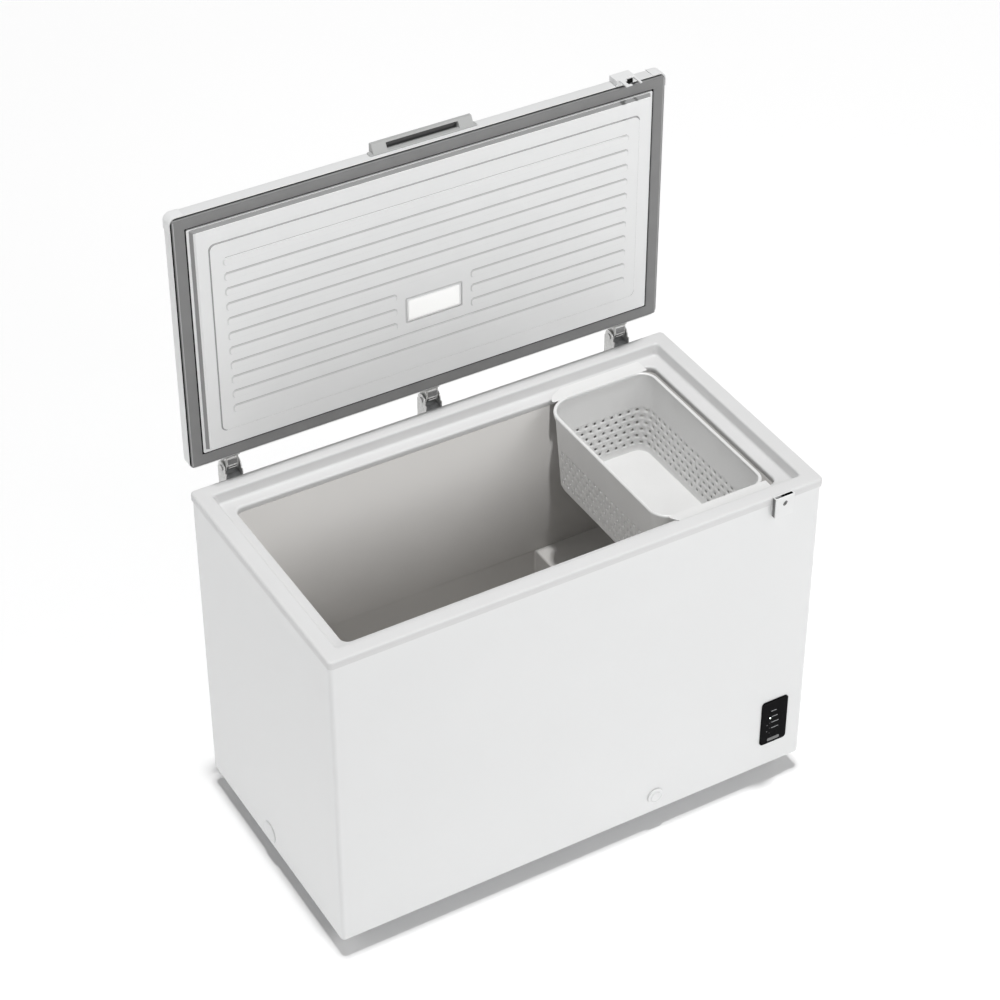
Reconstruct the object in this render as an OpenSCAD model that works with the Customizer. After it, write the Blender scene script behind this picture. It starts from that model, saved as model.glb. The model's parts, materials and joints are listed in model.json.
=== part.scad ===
// Chest freezer on four swivel castors, with a hinged lid, a sliding basket and a key lock.
// Millimetres. +X is the width (right), +Y points to the rear wall, +Z is up.
// The origin is on the floor, under the centre of the cabinet. The lid stands open.

/* [Cabinet] */
// Width over the top collar
collar_w = 1116; // [1080:1:1160]
// Depth over the top collar
collar_d = 600; // [590:1:620]
// Height of the collar's top face above the floor
collar_top = 790; // [780:1:820]
// Height of the cabinet's underside above the floor
underside = 48; // [48:1:50]
// How far the steel walls lie inside the collar
shell_inset = 2.5; // [2:0.5:3]
// Radius of the cabinet's upright corners
corner_r = 9; // [6:1:12]
// Height of the band that the collar shows above the walls
band_h = 18; // [14:1:20]
// Width of the flat ring that the lid seals on
ring_w = 35; // [33:1:36]
// Depth of the step from the ring down to the basket ledge
ledge_drop = 26; // [26:1:28]
// Width of the basket ledge
ledge_w = 31; // [28:1:32]
// Height of the storage floor above the floor
storage_floor = 110; // [108:1:114]
// Height of the raised part of the storage floor, over the compressor
step_top = 370; // [360:1:380]
// Where the raised part begins, from the cabinet's centre
step_x = 210; // [205:1:212]

/* [Lid] */
// Width of the lid
lid_w = 1096; // [1090:1:1100]
// Depth of the lid
lid_d = 584; // [580:1:586]
// Height of the lid's steel rim
lid_h = 30; // [29:1:31]
// How far the lid stands open, from shut
lid_open = 90; // [90]
// Width of the sealing strip
gasket_w = 25; // [22:1:26]
// How far the lid's inner moulding reaches down past the seal
plug_h = 15; // [14:0.1:20]
// Number of stiffening beads across the lid's inner moulding
bead_count = 11; // [9:1:11]
// Distance from one bead to the next
bead_pitch = 34.3; // [30:0.1:35]
// Length of the grip
handle_w = 222; // [200:1:240]
// How far the grip stands out from the lid
handle_out = 20; // [18:1:24]

/* [Hinges] */
// Distance of the outer hinges from the centre
hinge_x = 457; // [440:1:470]
// Width of a hinge bracket
hinge_w = 38; // [37:1:42]
// Radius of a hinge pin
pin_r = 4; // [3.5:0.1:4]

/* [Lock and controls] */
// Distance of the lock from the centre
lock_x = 457; // [440:1:470]
// Width of the lock's housing
lock_w = 45; // [44:1:48]
// Distance of the control panel from the centre
panel_x = 482; // [470:1:486]
// Height of the control panel's centre
panel_z = 169; // [165:1:175]
// Width of the control panel
panel_w = 66; // [60:1:70]
// Height of the control panel
panel_h = 120; // [110:1:124]

/* [Basket] */
// Distance of the basket's left side from the centre
basket_x = 219; // [215:1:225]
// Width of the basket
basket_w = 257; // [240:1:260]
// Depth of the basket, front to back, without its rims
basket_d = 452; // [440:1:456]
// Height of the basket
basket_h = 190; // [150:1:190]

/* [Castors] */
// Radius of a castor's wheel
wheel_r = 17; // [16:0.5:17]
// Distance of the castors from the centre, across
castor_x = 510; // [500:1:512]
// Distance of the castors from the centre, front to back
castor_y = 248; // [240:1:254]
// How far the wheel trails behind the castor's swivel
trail = 12; // [10:1:14]

/* [Hidden] */
$fn = 48;
sheet = 1.2;                      // modelled thickness of the steel sheets
gap = 0.4;                        // clearance between pieces that move past each other

shell_w = collar_w - 2 * shell_inset;
shell_d = collar_d - 2 * shell_inset;
front_y = -shell_d / 2;           // the steel front
rear_y = shell_d / 2;
band_bottom = collar_top - band_h;
ledge_top = collar_top - ledge_drop;
ring_in_w = collar_w - 2 * ring_w;
ring_in_d = collar_d - 2 * ring_w;
mouth_w = ring_in_w - 2 * ledge_w;  // clear opening past the basket ledge
mouth_d = ring_in_d - 2 * ledge_w;
lip = 2.5;                        // wall of the plastic collar
mouth_r = 18;
liner_w = mouth_w + 2 * lip;      // inside of the storage liner
liner_d = mouth_d + 2 * lip;
liner_r = mouth_r + lip;
liner_top = ledge_top - lip;
bay_wall = 52;                    // insulation between the storage space and the compressor bay
bay_x = step_x + bay_wall;
bay_top = step_top - bay_wall;

hinge_y = collar_d / 2 + 21;      // hinge axis
hinge_z = collar_top + 14;
hinge_xs = [-hinge_x, 0, hinge_x];
lid_bottom = collar_top + 4;      // lower edge of the shut lid's steel rim
lid_top = lid_bottom + lid_h;
seal_z = collar_top + gap;        // lower face of the shut lid's seal
flange_z = seal_z + 10.6;         // underside of the lid moulding's flange
plug_z = seal_z - plug_h;         // lowest flat face of the lid's inner moulding
moulding_t = 2;
lip_z = seal_z + 0.2;             // lower face of the lip that borders the seal
lip_w = ring_in_w - 13;
lip_d = ring_in_d - 9;
plug_w = ring_in_w - 38;
plug_d = ring_in_d - 27;
plug_y = -5;                      // the plug sits towards the front, clear of the hinges' swing
lid_front = -lid_d / 2;
lid_r = 14;
lining_r = 3;
bead_y0 = -178;                   // middle of the front bead
lamp_y = 66.5;
lamp_w = 120;
lamp_d = 51;
lamp_rows = [6, 8];               // first and last bead that stop short of the lamp

coil_r = 4;
coil_gap = 9.6;                   // space left in the foam for each coil
cylinder_r = 5;                   // key cylinder
cylinder_z = collar_top - 15;
lock_top = collar_top + 1.5;
tine_y = front_y - 6.5;           // middle plane of the hasp's tines
tine_t = 3;
spout_r = 8;
drain_x = 186;
drain_z = 91;
floor_drain_y = -200;
cap_y = 25;
cap_z = 78;
gland_x = 330;
gland_z = 92;
bracket_screw_zs = [band_bottom - 18, band_bottom - 74];
leaf_screw_z = lid_top - 9;
grille_screw_ys = [-132, 192];
grille_screw_zs = [80, 300];
comp_x = 405;
comp_y = 90;
comp_base = underside + 20;
cover_screw_xs = [bay_x + 16, shell_w / 2 - 26];
cover_screw_zs = [underside + 10, bay_top - 18];
castor_xs = [-castor_x, castor_x];
castor_ys = [-castor_y, castor_y];
plate_t = 2.5;

// ---------- shared shapes ----------

// Rectangle with round corners, about the origin
module rounded_rect(w, d, r) {
    square([w - 2 * r, d], center = true);
    square([w, d - 2 * r], center = true);
    for (x = [-1, 1], y = [-1, 1])
        translate([x * (w / 2 - r), y * (d / 2 - r)]) circle(r);
}

// Upright block with round corners, from z0 up to z1
module rounded_block(w, d, r, z0, z1) {
    translate([0, 0, z0]) linear_extrude(z1 - z0) rounded_rect(w, d, r);
}

// Block from one corner to the other
module block(low, high) {
    translate(low) cube(high - low);
}

// Upright frame with an inner opening, from z0 up to z1
module frame(outer, outer_r, inner, inner_r, z0, z1) {
    difference() {
        rounded_block(outer[0], outer[1], outer_r, z0, z1);
        rounded_block(inner[0], inner[1], inner_r, z0 - 1, z1 + 1);
    }
}

// Cylinder along X, about a point
module bar_x(at, r, length) {
    translate(at) rotate([0, 90, 0]) cylinder(r = r, h = length, center = true);
}

// Cylinder along Y, from y0 to y1
module bar_y(x, z, r, y0, y1) {
    translate([x, y0, z]) rotate([-90, 0, 0]) cylinder(r = r, h = y1 - y0);
}

// Straight tube between two points
module pipe(a, b, r) {
    v = b - a;
    length = norm(v);
    translate(a) rotate([0, acos(v[2] / length), atan2(v[1], v[0])]) cylinder(r = r, h = length);
}

// Straight tube between two points, with round ends
module rod(a, b, r) {
    pipe(a, b, r);
    translate(a) sphere(r);
    translate(b) sphere(r);
}

// Quarter of a bent tube in the XY plane, about its bend's centre
module elbow(at, turn, bend_r, r) {
    translate(at) rotate([0, 0, turn])
        rotate_extrude(angle = 90) translate([bend_r, 0]) circle(r);
}

// Pan-head screw whose shank points down, with its head's underside at z = 0
module screw(r, length) {
    translate([0, 0, -length]) cylinder(r = r, h = length + 0.5);
    cylinder(r = 1.8 * r, h = 1.2);
    translate([0, 0, 1.2]) cylinder(r = 1.4 * r, h = 0.8);
}

// The storage space with its raised floor over the compressor, grown outwards by g
module storage_space(g, top) {
    difference() {
        rounded_block(liner_w + 2 * g, liner_d + 2 * g, liner_r + g, storage_floor - g, top);
        block([step_x + g, -collar_d, 0], [collar_w, collar_d, step_top - g]);
    }
}

// Swings the shut lid's pieces up about the hinge axis to where they stand
module raised() {
    translate([0, hinge_y, hinge_z]) rotate([-lid_open, 0, 0])
        translate([0, -hinge_y, -hinge_z]) children();
}

// ---------- cabinet ----------

// Painted steel wrapper: the left, front and right walls in one sheet
module outer_shell() {
    color("white") difference() {
        rounded_block(shell_w, shell_d, corner_r, underside, band_bottom + 10);
        rounded_block(shell_w - 2 * sheet, shell_d - 2 * sheet, corner_r - sheet,
            underside - 1, band_bottom + 11);
        block([-shell_w, rear_y - corner_r, underside - 1], [shell_w, rear_y + 1, collar_top]);
        block([panel_x - panel_w / 2 + 4, front_y - 1, panel_z - panel_h / 2 + 4],
            [panel_x + panel_w / 2 - 4, front_y + 3, panel_z + panel_h / 2 - 4]);
        bar_y(drain_x, drain_z, spout_r + 3.2, front_y - 1, front_y + 3);
        block([shell_w / 2 - 3, -130, 82], [shell_w / 2 + 1, 190, 298]);
        bar_x([-shell_w / 2, cap_y, cap_z], 20, 8);
    }
}

// Rear sheet with rolled edges and the opening to the compressor bay
module rear_panel() {
    color("gainsboro") difference() {
        union() {
            block([-shell_w / 2 + corner_r, rear_y - sheet, underside],
                [shell_w / 2 - corner_r, rear_y, band_bottom + 10]);
            for (side = [-1, 1])
                translate([side * (shell_w / 2 - corner_r), rear_y - corner_r, underside])
                    linear_extrude(band_bottom + 10 - underside) intersection() {
                        difference() {
                            circle(corner_r);
                            circle(corner_r - sheet);
                        }
                        translate([side > 0 ? 0 : -corner_r, 0]) square(corner_r);
                    }
        }
        block([bay_x + 22, rear_y - 3, underside + 16], [shell_w / 2 - 32, rear_y + 1, bay_top - 24]);
    }
}

// Steel pan under the insulation, with an opening for the compressor's tray
module base_plate() {
    color("silver") difference() {
        rounded_block(shell_w - 2 * sheet - 0.4, shell_d - 2 * sheet - 0.4, corner_r - sheet,
            underside, underside + sheet);
        block([bay_x + 22, -130, underside - 1], [shell_w / 2 - 62, 190, underside + 3]);
    }
}

// Rigid foam that fills the walls and the floor
module foam_insulation() {
    coil = sheet + coil_gap;
    color("khaki") difference() {
        rounded_block(shell_w - 2 * sheet - 0.2, shell_d - 2 * sheet - 0.2, corner_r - sheet,
            underside + sheet, liner_top - 0.2);
        storage_space(sheet + 0.1, collar_top);
        // room for the evaporator round the liner
        difference() {
            intersection() {
                storage_space(coil, collar_top);
                rounded_block(collar_w, collar_d, 1, storage_floor + 20, liner_top - 30);
            }
            block([step_x - 30, -collar_d, storage_floor], [collar_w, collar_d, step_top + 12]);
        }
        // room for the condenser behind the steel walls
        difference() {
            rounded_block(collar_w, collar_d, 1, step_top, liner_top - 12);
            rounded_block(shell_w - 2 * coil, shell_d - 2 * coil, corner_r, 0, collar_top);
            block([-collar_w, rear_y - 40, 0], [collar_w, collar_d, collar_top]);
        }
        // compressor bay
        block([bay_x, -collar_d, 0], [collar_w, collar_d, bay_top]);
        // drain
        bar_y(drain_x, drain_z, spout_r + 3.2, -collar_d, floor_drain_y + spout_r + 3);
        translate([drain_x, floor_drain_y, drain_z - spout_r - 3]) cylinder(r = spout_r + 3.2, h = 60);
        bar_x([-shell_w / 2, cap_y, cap_z], 20, 44);
    }
}

// Metal sheet that wraps round the storage space
module liner_walls() {
    color("lightgray") difference() {
        storage_space(sheet, liner_top);
        rounded_block(liner_w, liner_d, liner_r, 0, collar_top);
    }
}

// Stepped metal floor of the storage space, raised over the compressor
module liner_floor() {
    edge_gap = 0.05;
    color("lightgray") difference() {
        intersection() {
            storage_space(sheet, liner_top);
            rounded_block(liner_w - 2 * edge_gap, liner_d - 2 * edge_gap, liner_r - edge_gap,
                0, liner_top);
        }
        storage_space(0, collar_top);
        translate([drain_x, floor_drain_y, 0]) cylinder(r = spout_r + 0.2, h = step_top);
    }
}

// White plastic frame round the mouth: band, sealing ring, step, basket ledge and inner lip
module top_collar() {
    outer = [collar_w, collar_d];
    ring_in = [ring_in_w, ring_in_d];
    mouth = [mouth_w, mouth_d];
    ring_r = 8;
    color("white") union() {
        frame(outer, corner_r + shell_inset, outer - [2 * shell_inset, 2 * shell_inset],
            corner_r, band_bottom, collar_top);
        frame(outer, corner_r + shell_inset, ring_in, ring_r, collar_top - lip, collar_top);
        frame(ring_in + [2 * lip, 2 * lip], ring_r + lip, ring_in, ring_r, ledge_top - lip, collar_top);
        frame(ring_in + [2 * lip, 2 * lip], ring_r + lip, mouth, mouth_r, ledge_top - lip, ledge_top);
        frame(mouth + [2 * lip, 2 * lip] - [0.2, 0.2], mouth_r + lip - 0.1, mouth, mouth_r,
            ledge_top - 14, ledge_top);
    }
}

// Slotted steel tray that carries the compressor
module compressor_tray() {
    color("silver") difference() {
        block([bay_x + 12, -150, underside + sheet], [shell_w / 2 - 52, 210, underside + 2 * sheet + 1]);
        for (i = [0 : 5])
            block([bay_x + 50, -110 + i * 22, underside], [shell_w / 2 - 100, -104 + i * 22, underside + 6]);
    }
}

// ---------- refrigeration ----------

// Welded compressor can on its foot plate
module compressor() {
    color("black") translate([comp_x, comp_y, comp_base]) {
        edge = 24;
        can_r = 78;
        can_h = 172;
        translate([0, 0, 6]) difference() {
            union() {
                translate([0, 0, edge]) cylinder(r = can_r, h = can_h - 2 * edge);
                cylinder(r = can_r - edge, h = can_h);
                for (z = [edge, can_h - edge])
                    translate([0, 0, z]) rotate_extrude() translate([can_r - edge, 0]) circle(edge);
                translate([0, 0, can_h / 2 - 2]) cylinder(r = can_r + 4, h = 4);
            }
            translate([0, 0, edge]) cylinder(r = can_r - 8, h = can_h - 2 * edge);
        }
        difference() {
            linear_extrude(3) rounded_rect(190, 150, 14);
            for (x = [-1, 1], y = [-1, 1])
                translate([x * 78, y * 58, -1]) cylinder(r = 8.2, h = 8);
        }
        cylinder(r = 50, h = 12);
    }
}

// Rubber feet under the compressor's foot plate
module compressor_grommets() {
    base = underside + 2 * sheet + 1;
    color("dimgray") for (x = [-1, 1], y = [-1, 1])
        translate([comp_x + x * 78, comp_y + y * 58, base]) difference() {
            union() {
                cylinder(r = 12, h = comp_base - base);
                cylinder(r = 8, h = comp_base - base + 6);
                translate([0, 0, comp_base - base + 3.2]) cylinder(r = 10.5, h = 3);
            }
            translate([0, 0, -1]) cylinder(r = 4, h = 40);
        }
}

// Plastic cover over the compressor's start relay
module relay_cover() {
    color("black") difference() {
        translate([comp_x - 64, comp_y, comp_base + 104]) rotate([0, -90, 0])
            linear_extrude(48) rounded_rect(66, 54, 8);
        translate([comp_x, comp_y, comp_base]) cylinder(r = 82.3, h = 180);
    }
}

// Evaporator tube laid round the liner in turns, joined by a riser at the rear
module evaporator_coil() {
    bend_r = liner_r + sheet + 0.5 + coil_r;
    x = liner_w / 2 + sheet + 0.5 + coil_r;
    y = liner_d / 2 + sheet + 0.5 + coil_r;
    pitch = 44;
    turns = 8;
    z0 = step_top + 40;
    color("goldenrod") {
        for (i = [0 : turns - 1]) {
            z = z0 + i * pitch;
            for (side = [-1, 1]) {
                pipe([-x + bend_r, side * y, z], [x - bend_r, side * y, z], coil_r);
                pipe([side * x, -y + bend_r, z], [side * x, y - bend_r, z], coil_r);
            }
            elbow([-x + bend_r, -y + bend_r, z], 180, bend_r, coil_r);
            elbow([x - bend_r, -y + bend_r, z], 270, bend_r, coil_r);
            elbow([x - bend_r, y - bend_r, z], 0, bend_r, coil_r);
            elbow([-x + bend_r, y - bend_r, z], 90, bend_r, coil_r);
        }
        pipe([0, y, z0], [0, y, z0 + (turns - 1) * pitch], coil_r - 1);
    }
}

// Condenser tube in long bends behind the left, front and right walls
module condenser_coil() {
    x = shell_w / 2 - sheet - 0.6 - coil_r;
    y = shell_d / 2 - sheet - 0.6 - coil_r;
    bend_r = 14;
    end_y = rear_y - 80;
    pitch = 52;
    runs = 7;
    z0 = step_top + 24;
    color("goldenrod") for (i = [0 : runs - 1]) {
        z = z0 + i * pitch;
        pipe([-x + bend_r, -y, z], [x - bend_r, -y, z], coil_r);
        for (side = [-1, 1])
            pipe([side * x, -y + bend_r, z], [side * x, end_y, z], coil_r);
        elbow([-x + bend_r, -y + bend_r, z], 180, bend_r, coil_r);
        elbow([x - bend_r, -y + bend_r, z], 270, bend_r, coil_r);
        if (i < runs - 1)
            translate([(i % 2 == 0 ? 1 : -1) * x, end_y, z + pitch / 2]) rotate([90, 0, 90])
                rotate([0, 0, -90]) rotate_extrude(angle = 180) translate([pitch / 2, 0]) circle(coil_r);
    }
}

// Copper filter drier, standing beside the compressor
module filter_drier() {
    color("peru") translate([300, -30, comp_base + 40]) {
        cylinder(r = 10, h = 110);
        translate([0, 0, -8]) cylinder(r1 = 3, r2 = 10, h = 8);
        translate([0, 0, 110]) cylinder(r1 = 10, r2 = 3, h = 8);
    }
}

// Copper suction, discharge and drier lines in the compressor bay
module refrigerant_tubes() {
    top = bay_top - 12;
    r = 3;
    color("peru") {
        rod([comp_x + 40, comp_y - 71, comp_base + 60], [comp_x + 40, comp_y - 130, comp_base + 60], r);
        rod([comp_x + 40, comp_y - 130, comp_base + 60], [comp_x + 40, comp_y - 130, top], r);
        rod([comp_x - 30, comp_y - 76, comp_base + 44], [comp_x - 30, comp_y - 150, comp_base + 44], r);
        rod([comp_x - 30, comp_y - 150, comp_base + 44], [comp_x - 30, comp_y - 150, top], r);
        rod([300, -30, comp_base + 162], [300, -30, top], r);
    }
}

// ---------- drain, caps, covers and cord gland ----------

// Plastic elbow from the storage floor to the front wall
module drain_tube() {
    r = spout_r + 3;
    color("white") difference() {
        union() {
            bar_y(drain_x, drain_z, r, front_y - 0.2, floor_drain_y);
            translate([drain_x, floor_drain_y, drain_z]) {
                sphere(r);
                cylinder(r = r, h = storage_floor - sheet - drain_z - 0.1);
            }
        }
        bar_y(drain_x, drain_z, spout_r, front_y - 1, floor_drain_y);
        translate([drain_x, floor_drain_y, drain_z]) {
            sphere(spout_r);
            cylinder(r = spout_r, h = 40);
        }
    }
}

// Push-in cap on the front drain outlet
module front_drain_cap() {
    color("white") {
        bar_y(drain_x, drain_z, spout_r - 0.05, front_y - 1.5, front_y + 12);
        bar_y(drain_x, drain_z, 19, front_y - 4, front_y - 0.4);
        difference() {
            bar_y(drain_x, drain_z, 17.5, front_y - 5.5, front_y - 3.9);
            bar_y(drain_x, drain_z, 13, front_y - 6, front_y - 4.4);
        }
        bar_y(drain_x, drain_z, 11, front_y - 5.5, front_y - 3.9);
    }
}

// Rubber plug in the storage floor's drain, with a finger tab
module inner_drain_plug() {
    color("lightgray") translate([drain_x, floor_drain_y, storage_floor]) {
        translate([0, 0, 0.2]) cylinder(r = 16, h = 3);
        translate([0, 0, -9]) cylinder(r = spout_r - 0.05, h = 10);
        translate([-8, -1.5, 3]) cube([16, 3, 9]);
    }
}

// Round closing cap on the left wall
module side_cap() {
    x = -shell_w / 2;
    color("white") {
        bar_x([x - 1.3, cap_y, cap_z], 25, 2.4);
        bar_x([x - 2.6, cap_y, cap_z], 22.5, 1.2);
        bar_x([x + 4.9, cap_y, cap_z], 19.8, 10);
    }
}

// Louvred plastic grille on the right wall, over the compressor bay
module side_vent_grille() {
    x = shell_w / 2;
    color("white") difference() {
        union() {
            block([x, -138, 74], [x + 3, 198, 306]);
            block([x - 8, -129, 83], [x + 1, 189, 297]);
        }
        block([x - 9, -126, 86], [x - 1.5, 186, 294]);
        for (i = [0 : 12])
            block([x - 10, -112, 96 + i * 15], [x + 5, 172, 102 + i * 15]);
        for (y = grille_screw_ys, z = grille_screw_zs) bar_x([x, y, z], 2.1, 10);
    }
}

// Louvred steel cover over the compressor bay's rear opening
module rear_service_cover() {
    color("gainsboro") difference() {
        block([bay_x + 10, rear_y, underside + 4], [shell_w / 2 - 20, rear_y + sheet, bay_top - 12]);
        for (i = [0 : 8])
            block([bay_x + 90, rear_y - 1, underside + 66 + i * 17],
                [shell_w / 2 - 60, rear_y + 3, underside + 72 + i * 17]);
        bar_y(gland_x, gland_z, 8.1, rear_y - 1, rear_y + 3);
        for (x = cover_screw_xs, z = cover_screw_zs) bar_y(x, z, 2.1, rear_y - 1, rear_y + 3);
    }
}

// Cable gland for the mains lead, in the rear cover
module cord_gland() {
    color("black") difference() {
        union() {
            bar_y(gland_x, gland_z, 8, rear_y - 12, rear_y + 10);
            bar_y(gland_x, gland_z, 12, rear_y + sheet, rear_y + 5);
            bar_y(gland_x, gland_z, 11, rear_y - 12, rear_y - 7);
        }
        bar_y(gland_x, gland_z, 4, rear_y - 13, rear_y + 11);
    }
}

// ---------- controls ----------

// Plastic box that holds the control board behind the front wall
module panel_housing() {
    w = panel_w - 8.4;
    h = panel_h - 8.4;
    color("dimgray") difference() {
        block([panel_x - w / 2, front_y + 0.1, panel_z - h / 2],
            [panel_x + w / 2, front_y + 28, panel_z + h / 2]);
        block([panel_x - w / 2 + 2, front_y - 1, panel_z - h / 2 + 2],
            [panel_x + w / 2 - 2, front_y + 26, panel_z + h / 2 - 2]);
    }
}

// Gloss black fascia with openings for the button and the lights
module panel_fascia() {
    color("black") difference() {
        translate([panel_x, front_y - 3, panel_z]) rotate([-90, 0, 0])
            linear_extrude(3) rounded_rect(panel_w, panel_h, 6);
        button_opening(gap, front_y - 4, front_y + 1);
        for (i = [0 : 3])
            bar_y(panel_x - 11, panel_z + 12 - i * 14, 1.7, front_y - 4, front_y + 1);
    }
}

// The button's outline, grown by g, from y0 to y1
module button_opening(g, y0, y1) {
    translate([panel_x, y0, panel_z - 49]) rotate([-90, 0, 0])
        linear_extrude(y1 - y0) rounded_rect(30 + 2 * g, 8 + 2 * g, 2.5);
}

// Circuit board behind the fascia
module control_board() {
    color("darkgreen")
        block([panel_x - 25, front_y + 8, panel_z - 46], [panel_x + 25, front_y + 9.6, panel_z + 46]);
}

// Four indicator lights on the board
module indicator_leds() {
    color("limegreen") for (i = [0 : 3])
        bar_y(panel_x - 11, panel_z + 12 - i * 14, 1.5, front_y - 3, front_y + 8);
}

// Temperature button, which travels 1 mm
module set_button() {
    color("gray") {
        button_opening(0, front_y - 3.6, front_y + 2);
        translate([panel_x, front_y + 2, panel_z - 49]) rotate([-90, 0, 0]) cylinder(r = 2.5, h = 4);
    }
}

// ---------- lock ----------

// Open-topped housing on the front wall that takes the lid's forked hasp
module lock_housing() {
    back = -collar_d / 2 - 0.2;
    out = front_y - 14;
    low = lock_top - 49;
    color("white") difference() {
        union() {
            block([lock_x - lock_w / 2, out, low], [lock_x + lock_w / 2, back, lock_top]);
            block([lock_x - lock_w / 2, out, low], [lock_x + lock_w / 2, front_y, band_bottom - 0.3]);
        }
        block([lock_x - 20.5, out + 2.5, lock_top - 32], [lock_x + 20.5, back - 0.5, lock_top + 1]);
        bar_y(lock_x, cylinder_z, cylinder_r + 0.05, out - 1, out + 3);
    }
}

// Key cylinder in the lock's front wall
module lock_cylinder() {
    out = front_y - 14;
    color("silver") difference() {
        union() {
            bar_y(lock_x, cylinder_z, cylinder_r, out - 0.5, tine_y - tine_t / 2 - 0.3);
            bar_y(lock_x, cylinder_z, cylinder_r + 1, out + 2.6, tine_y - tine_t / 2 - 0.3);
        }
        block([lock_x - 0.7, out - 2, cylinder_z - 3.2], [lock_x + 0.7, out + 2, cylinder_z + 3.2]);
    }
}

// Locking bar on the key cylinder: upright when open, through the hasp's left tine when locked
module lock_cam() {
    color("silver") intersection() {
        bar_y(lock_x, cylinder_z, 9.5, tine_y - tine_t / 2 - 0.3, tine_y + tine_t / 2 - 0.3);
        block([lock_x - 2.5, tine_y - 5, cylinder_z - 3.5], [lock_x + 2.5, tine_y + 5, cylinder_z + 10]);
    }
}

// ---------- hinges ----------

// Channel bracket on the cabinet's rear wall, with two round-topped cheeks that hold the pin
module hinge_bracket() {
    t = 2.4;
    back = hinge_y + 18;
    foot = band_bottom - 90;
    wall = rear_y + 0.1;
    cheek_front = collar_d / 2 + 0.6;
    eye_r = 15;
    difference() {
        union() {
            for (side = [-1, 1])
                translate([side > 0 ? hinge_w / 2 - t : -hinge_w / 2, 0, 0]) {
                    block([0, cheek_front, foot], [t, back, hinge_z - 4]);
                    block([0, wall, foot], [t, back, band_bottom - 1]);
                    block([0, hinge_y - eye_r, hinge_z - 30], [t, hinge_y + eye_r, hinge_z]);
                    translate([t / 2, hinge_y, hinge_z]) rotate([0, 90, 0])
                        cylinder(r = eye_r, h = t, center = true);
                }
            block([-hinge_w / 2, back - t, foot], [hinge_w / 2, back, hinge_z - 4]);
            block([-hinge_w / 2 - 16, wall, foot], [-hinge_w / 2 + t, wall + t, band_bottom - 2]);
            block([hinge_w / 2 - t, wall, foot], [hinge_w / 2 + 16, wall + t, band_bottom - 2]);
        }
        bar_x([0, hinge_y, hinge_z], pin_r + 0.05, hinge_w + 10);
        for (side = [-1, 1], z = bracket_screw_zs)
            bar_y(side * (hinge_w / 2 + 8), z, 2.3, rear_y, wall + t + 1);
    }
}

module hinge_brackets() {
    color("silver") for (x = hinge_xs) translate([x, 0, 0]) hinge_bracket();
}

// Leaf on the lid: a flange on the rear edge, a web under it and two eyes on the pin
module hinge_leaf() {
    t = 2.4;
    half = hinge_w / 2 - 5;
    face = lid_d / 2;
    web_z = hinge_z - 12;
    difference() {
        union() {
            block([-hinge_w / 2, face + 0.1, lid_bottom], [hinge_w / 2, face + t, lid_top]);
            block([-half, face + 0.1, web_z], [half, hinge_y - 6, web_z + t]);
            for (side = [-1, 1])
                translate([side > 0 ? half - t : -half, 0, 0]) {
                    rotate([90, 0, 90]) linear_extrude(t) polygon([
                        [face + 0.1, web_z], [hinge_y, hinge_z - 10], [hinge_y + 7, hinge_z + 7],
                        [face + 12, lid_top - 2], [face + 0.1, lid_top - 2],
                    ]);
                    translate([t / 2, hinge_y, hinge_z]) rotate([0, 90, 0])
                        cylinder(r = 10, h = t, center = true);
                }
        }
        bar_x([0, hinge_y, hinge_z], pin_r + 0.05, hinge_w + 10);
        for (x = [-8, 8]) bar_y(x, leaf_screw_z, 2.1, face - 1, face + t + 1);
    }
}

module hinge_leaves() {
    color("silver") raised() for (x = hinge_xs) translate([x, 0, 0]) hinge_leaf();
}

// Headed pins through the brackets and the leaves
module hinge_pins() {
    color("gray") for (x = hinge_xs) {
        bar_x([x, hinge_y, hinge_z], pin_r, hinge_w + 3);
        for (side = [-1, 1])
            bar_x([x + side * (hinge_w / 2 + 1.2), hinge_y, hinge_z], pin_r + 2.5, 2);
    }
}

// Close-wound balance springs on the pins
module hinge_springs() {
    wire_r = 1.4;
    turns = 8;
    color("dimgray") for (x = hinge_xs, i = [0 : turns - 1])
        translate([x + (i - (turns - 1) / 2) * 2 * wire_r * 0.98, hinge_y, hinge_z]) rotate([0, 90, 0])
            rotate_extrude() translate([pin_r + 0.3 + wire_r, 0]) circle(wire_r);
}

// Screws through the leaves' flanges into the lid's rear edge
module hinge_leaf_screws() {
    color("silver") raised() for (x = hinge_xs, dx = [-8, 8])
        translate([x + dx, lid_d / 2 + 2.4, leaf_screw_z]) rotate([-90, 0, 0]) screw(2, 2.2);
}

// ---------- fasteners ----------

// Screws of the hinge brackets, castor plates and covers, and the compressor's bolts
module cabinet_screws() {
    color("silver") {
        for (x = hinge_xs, side = [-1, 1], z = bracket_screw_zs)
            translate([x + side * (hinge_w / 2 + 8), rear_y + 2.5, z])
                rotate([-90, 0, 0]) screw(2.2, 2.2);
        for (x = castor_xs, y = castor_ys, dx = [-20, 20], dy = [-20, 20])
            translate([x + dx, y + dy, underside - plate_t]) rotate([180, 0, 0]) screw(1.8, 2.4);
        for (x = cover_screw_xs, z = cover_screw_zs)
            translate([x, rear_y + sheet, z]) rotate([-90, 0, 0]) screw(2, 1);
        for (y = grille_screw_ys, z = grille_screw_zs)
            translate([shell_w / 2 + 3, y, z]) rotate([0, 90, 0]) screw(2, 2.8);
        for (x = [-1, 1], y = [-1, 1])
            translate([comp_x + x * 78, comp_y + y * 58, comp_base + 6.2])
                screw(3.9, comp_base + 5 - underside - 2 * sheet - 1);
    }
}

// ---------- basket ----------

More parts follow.
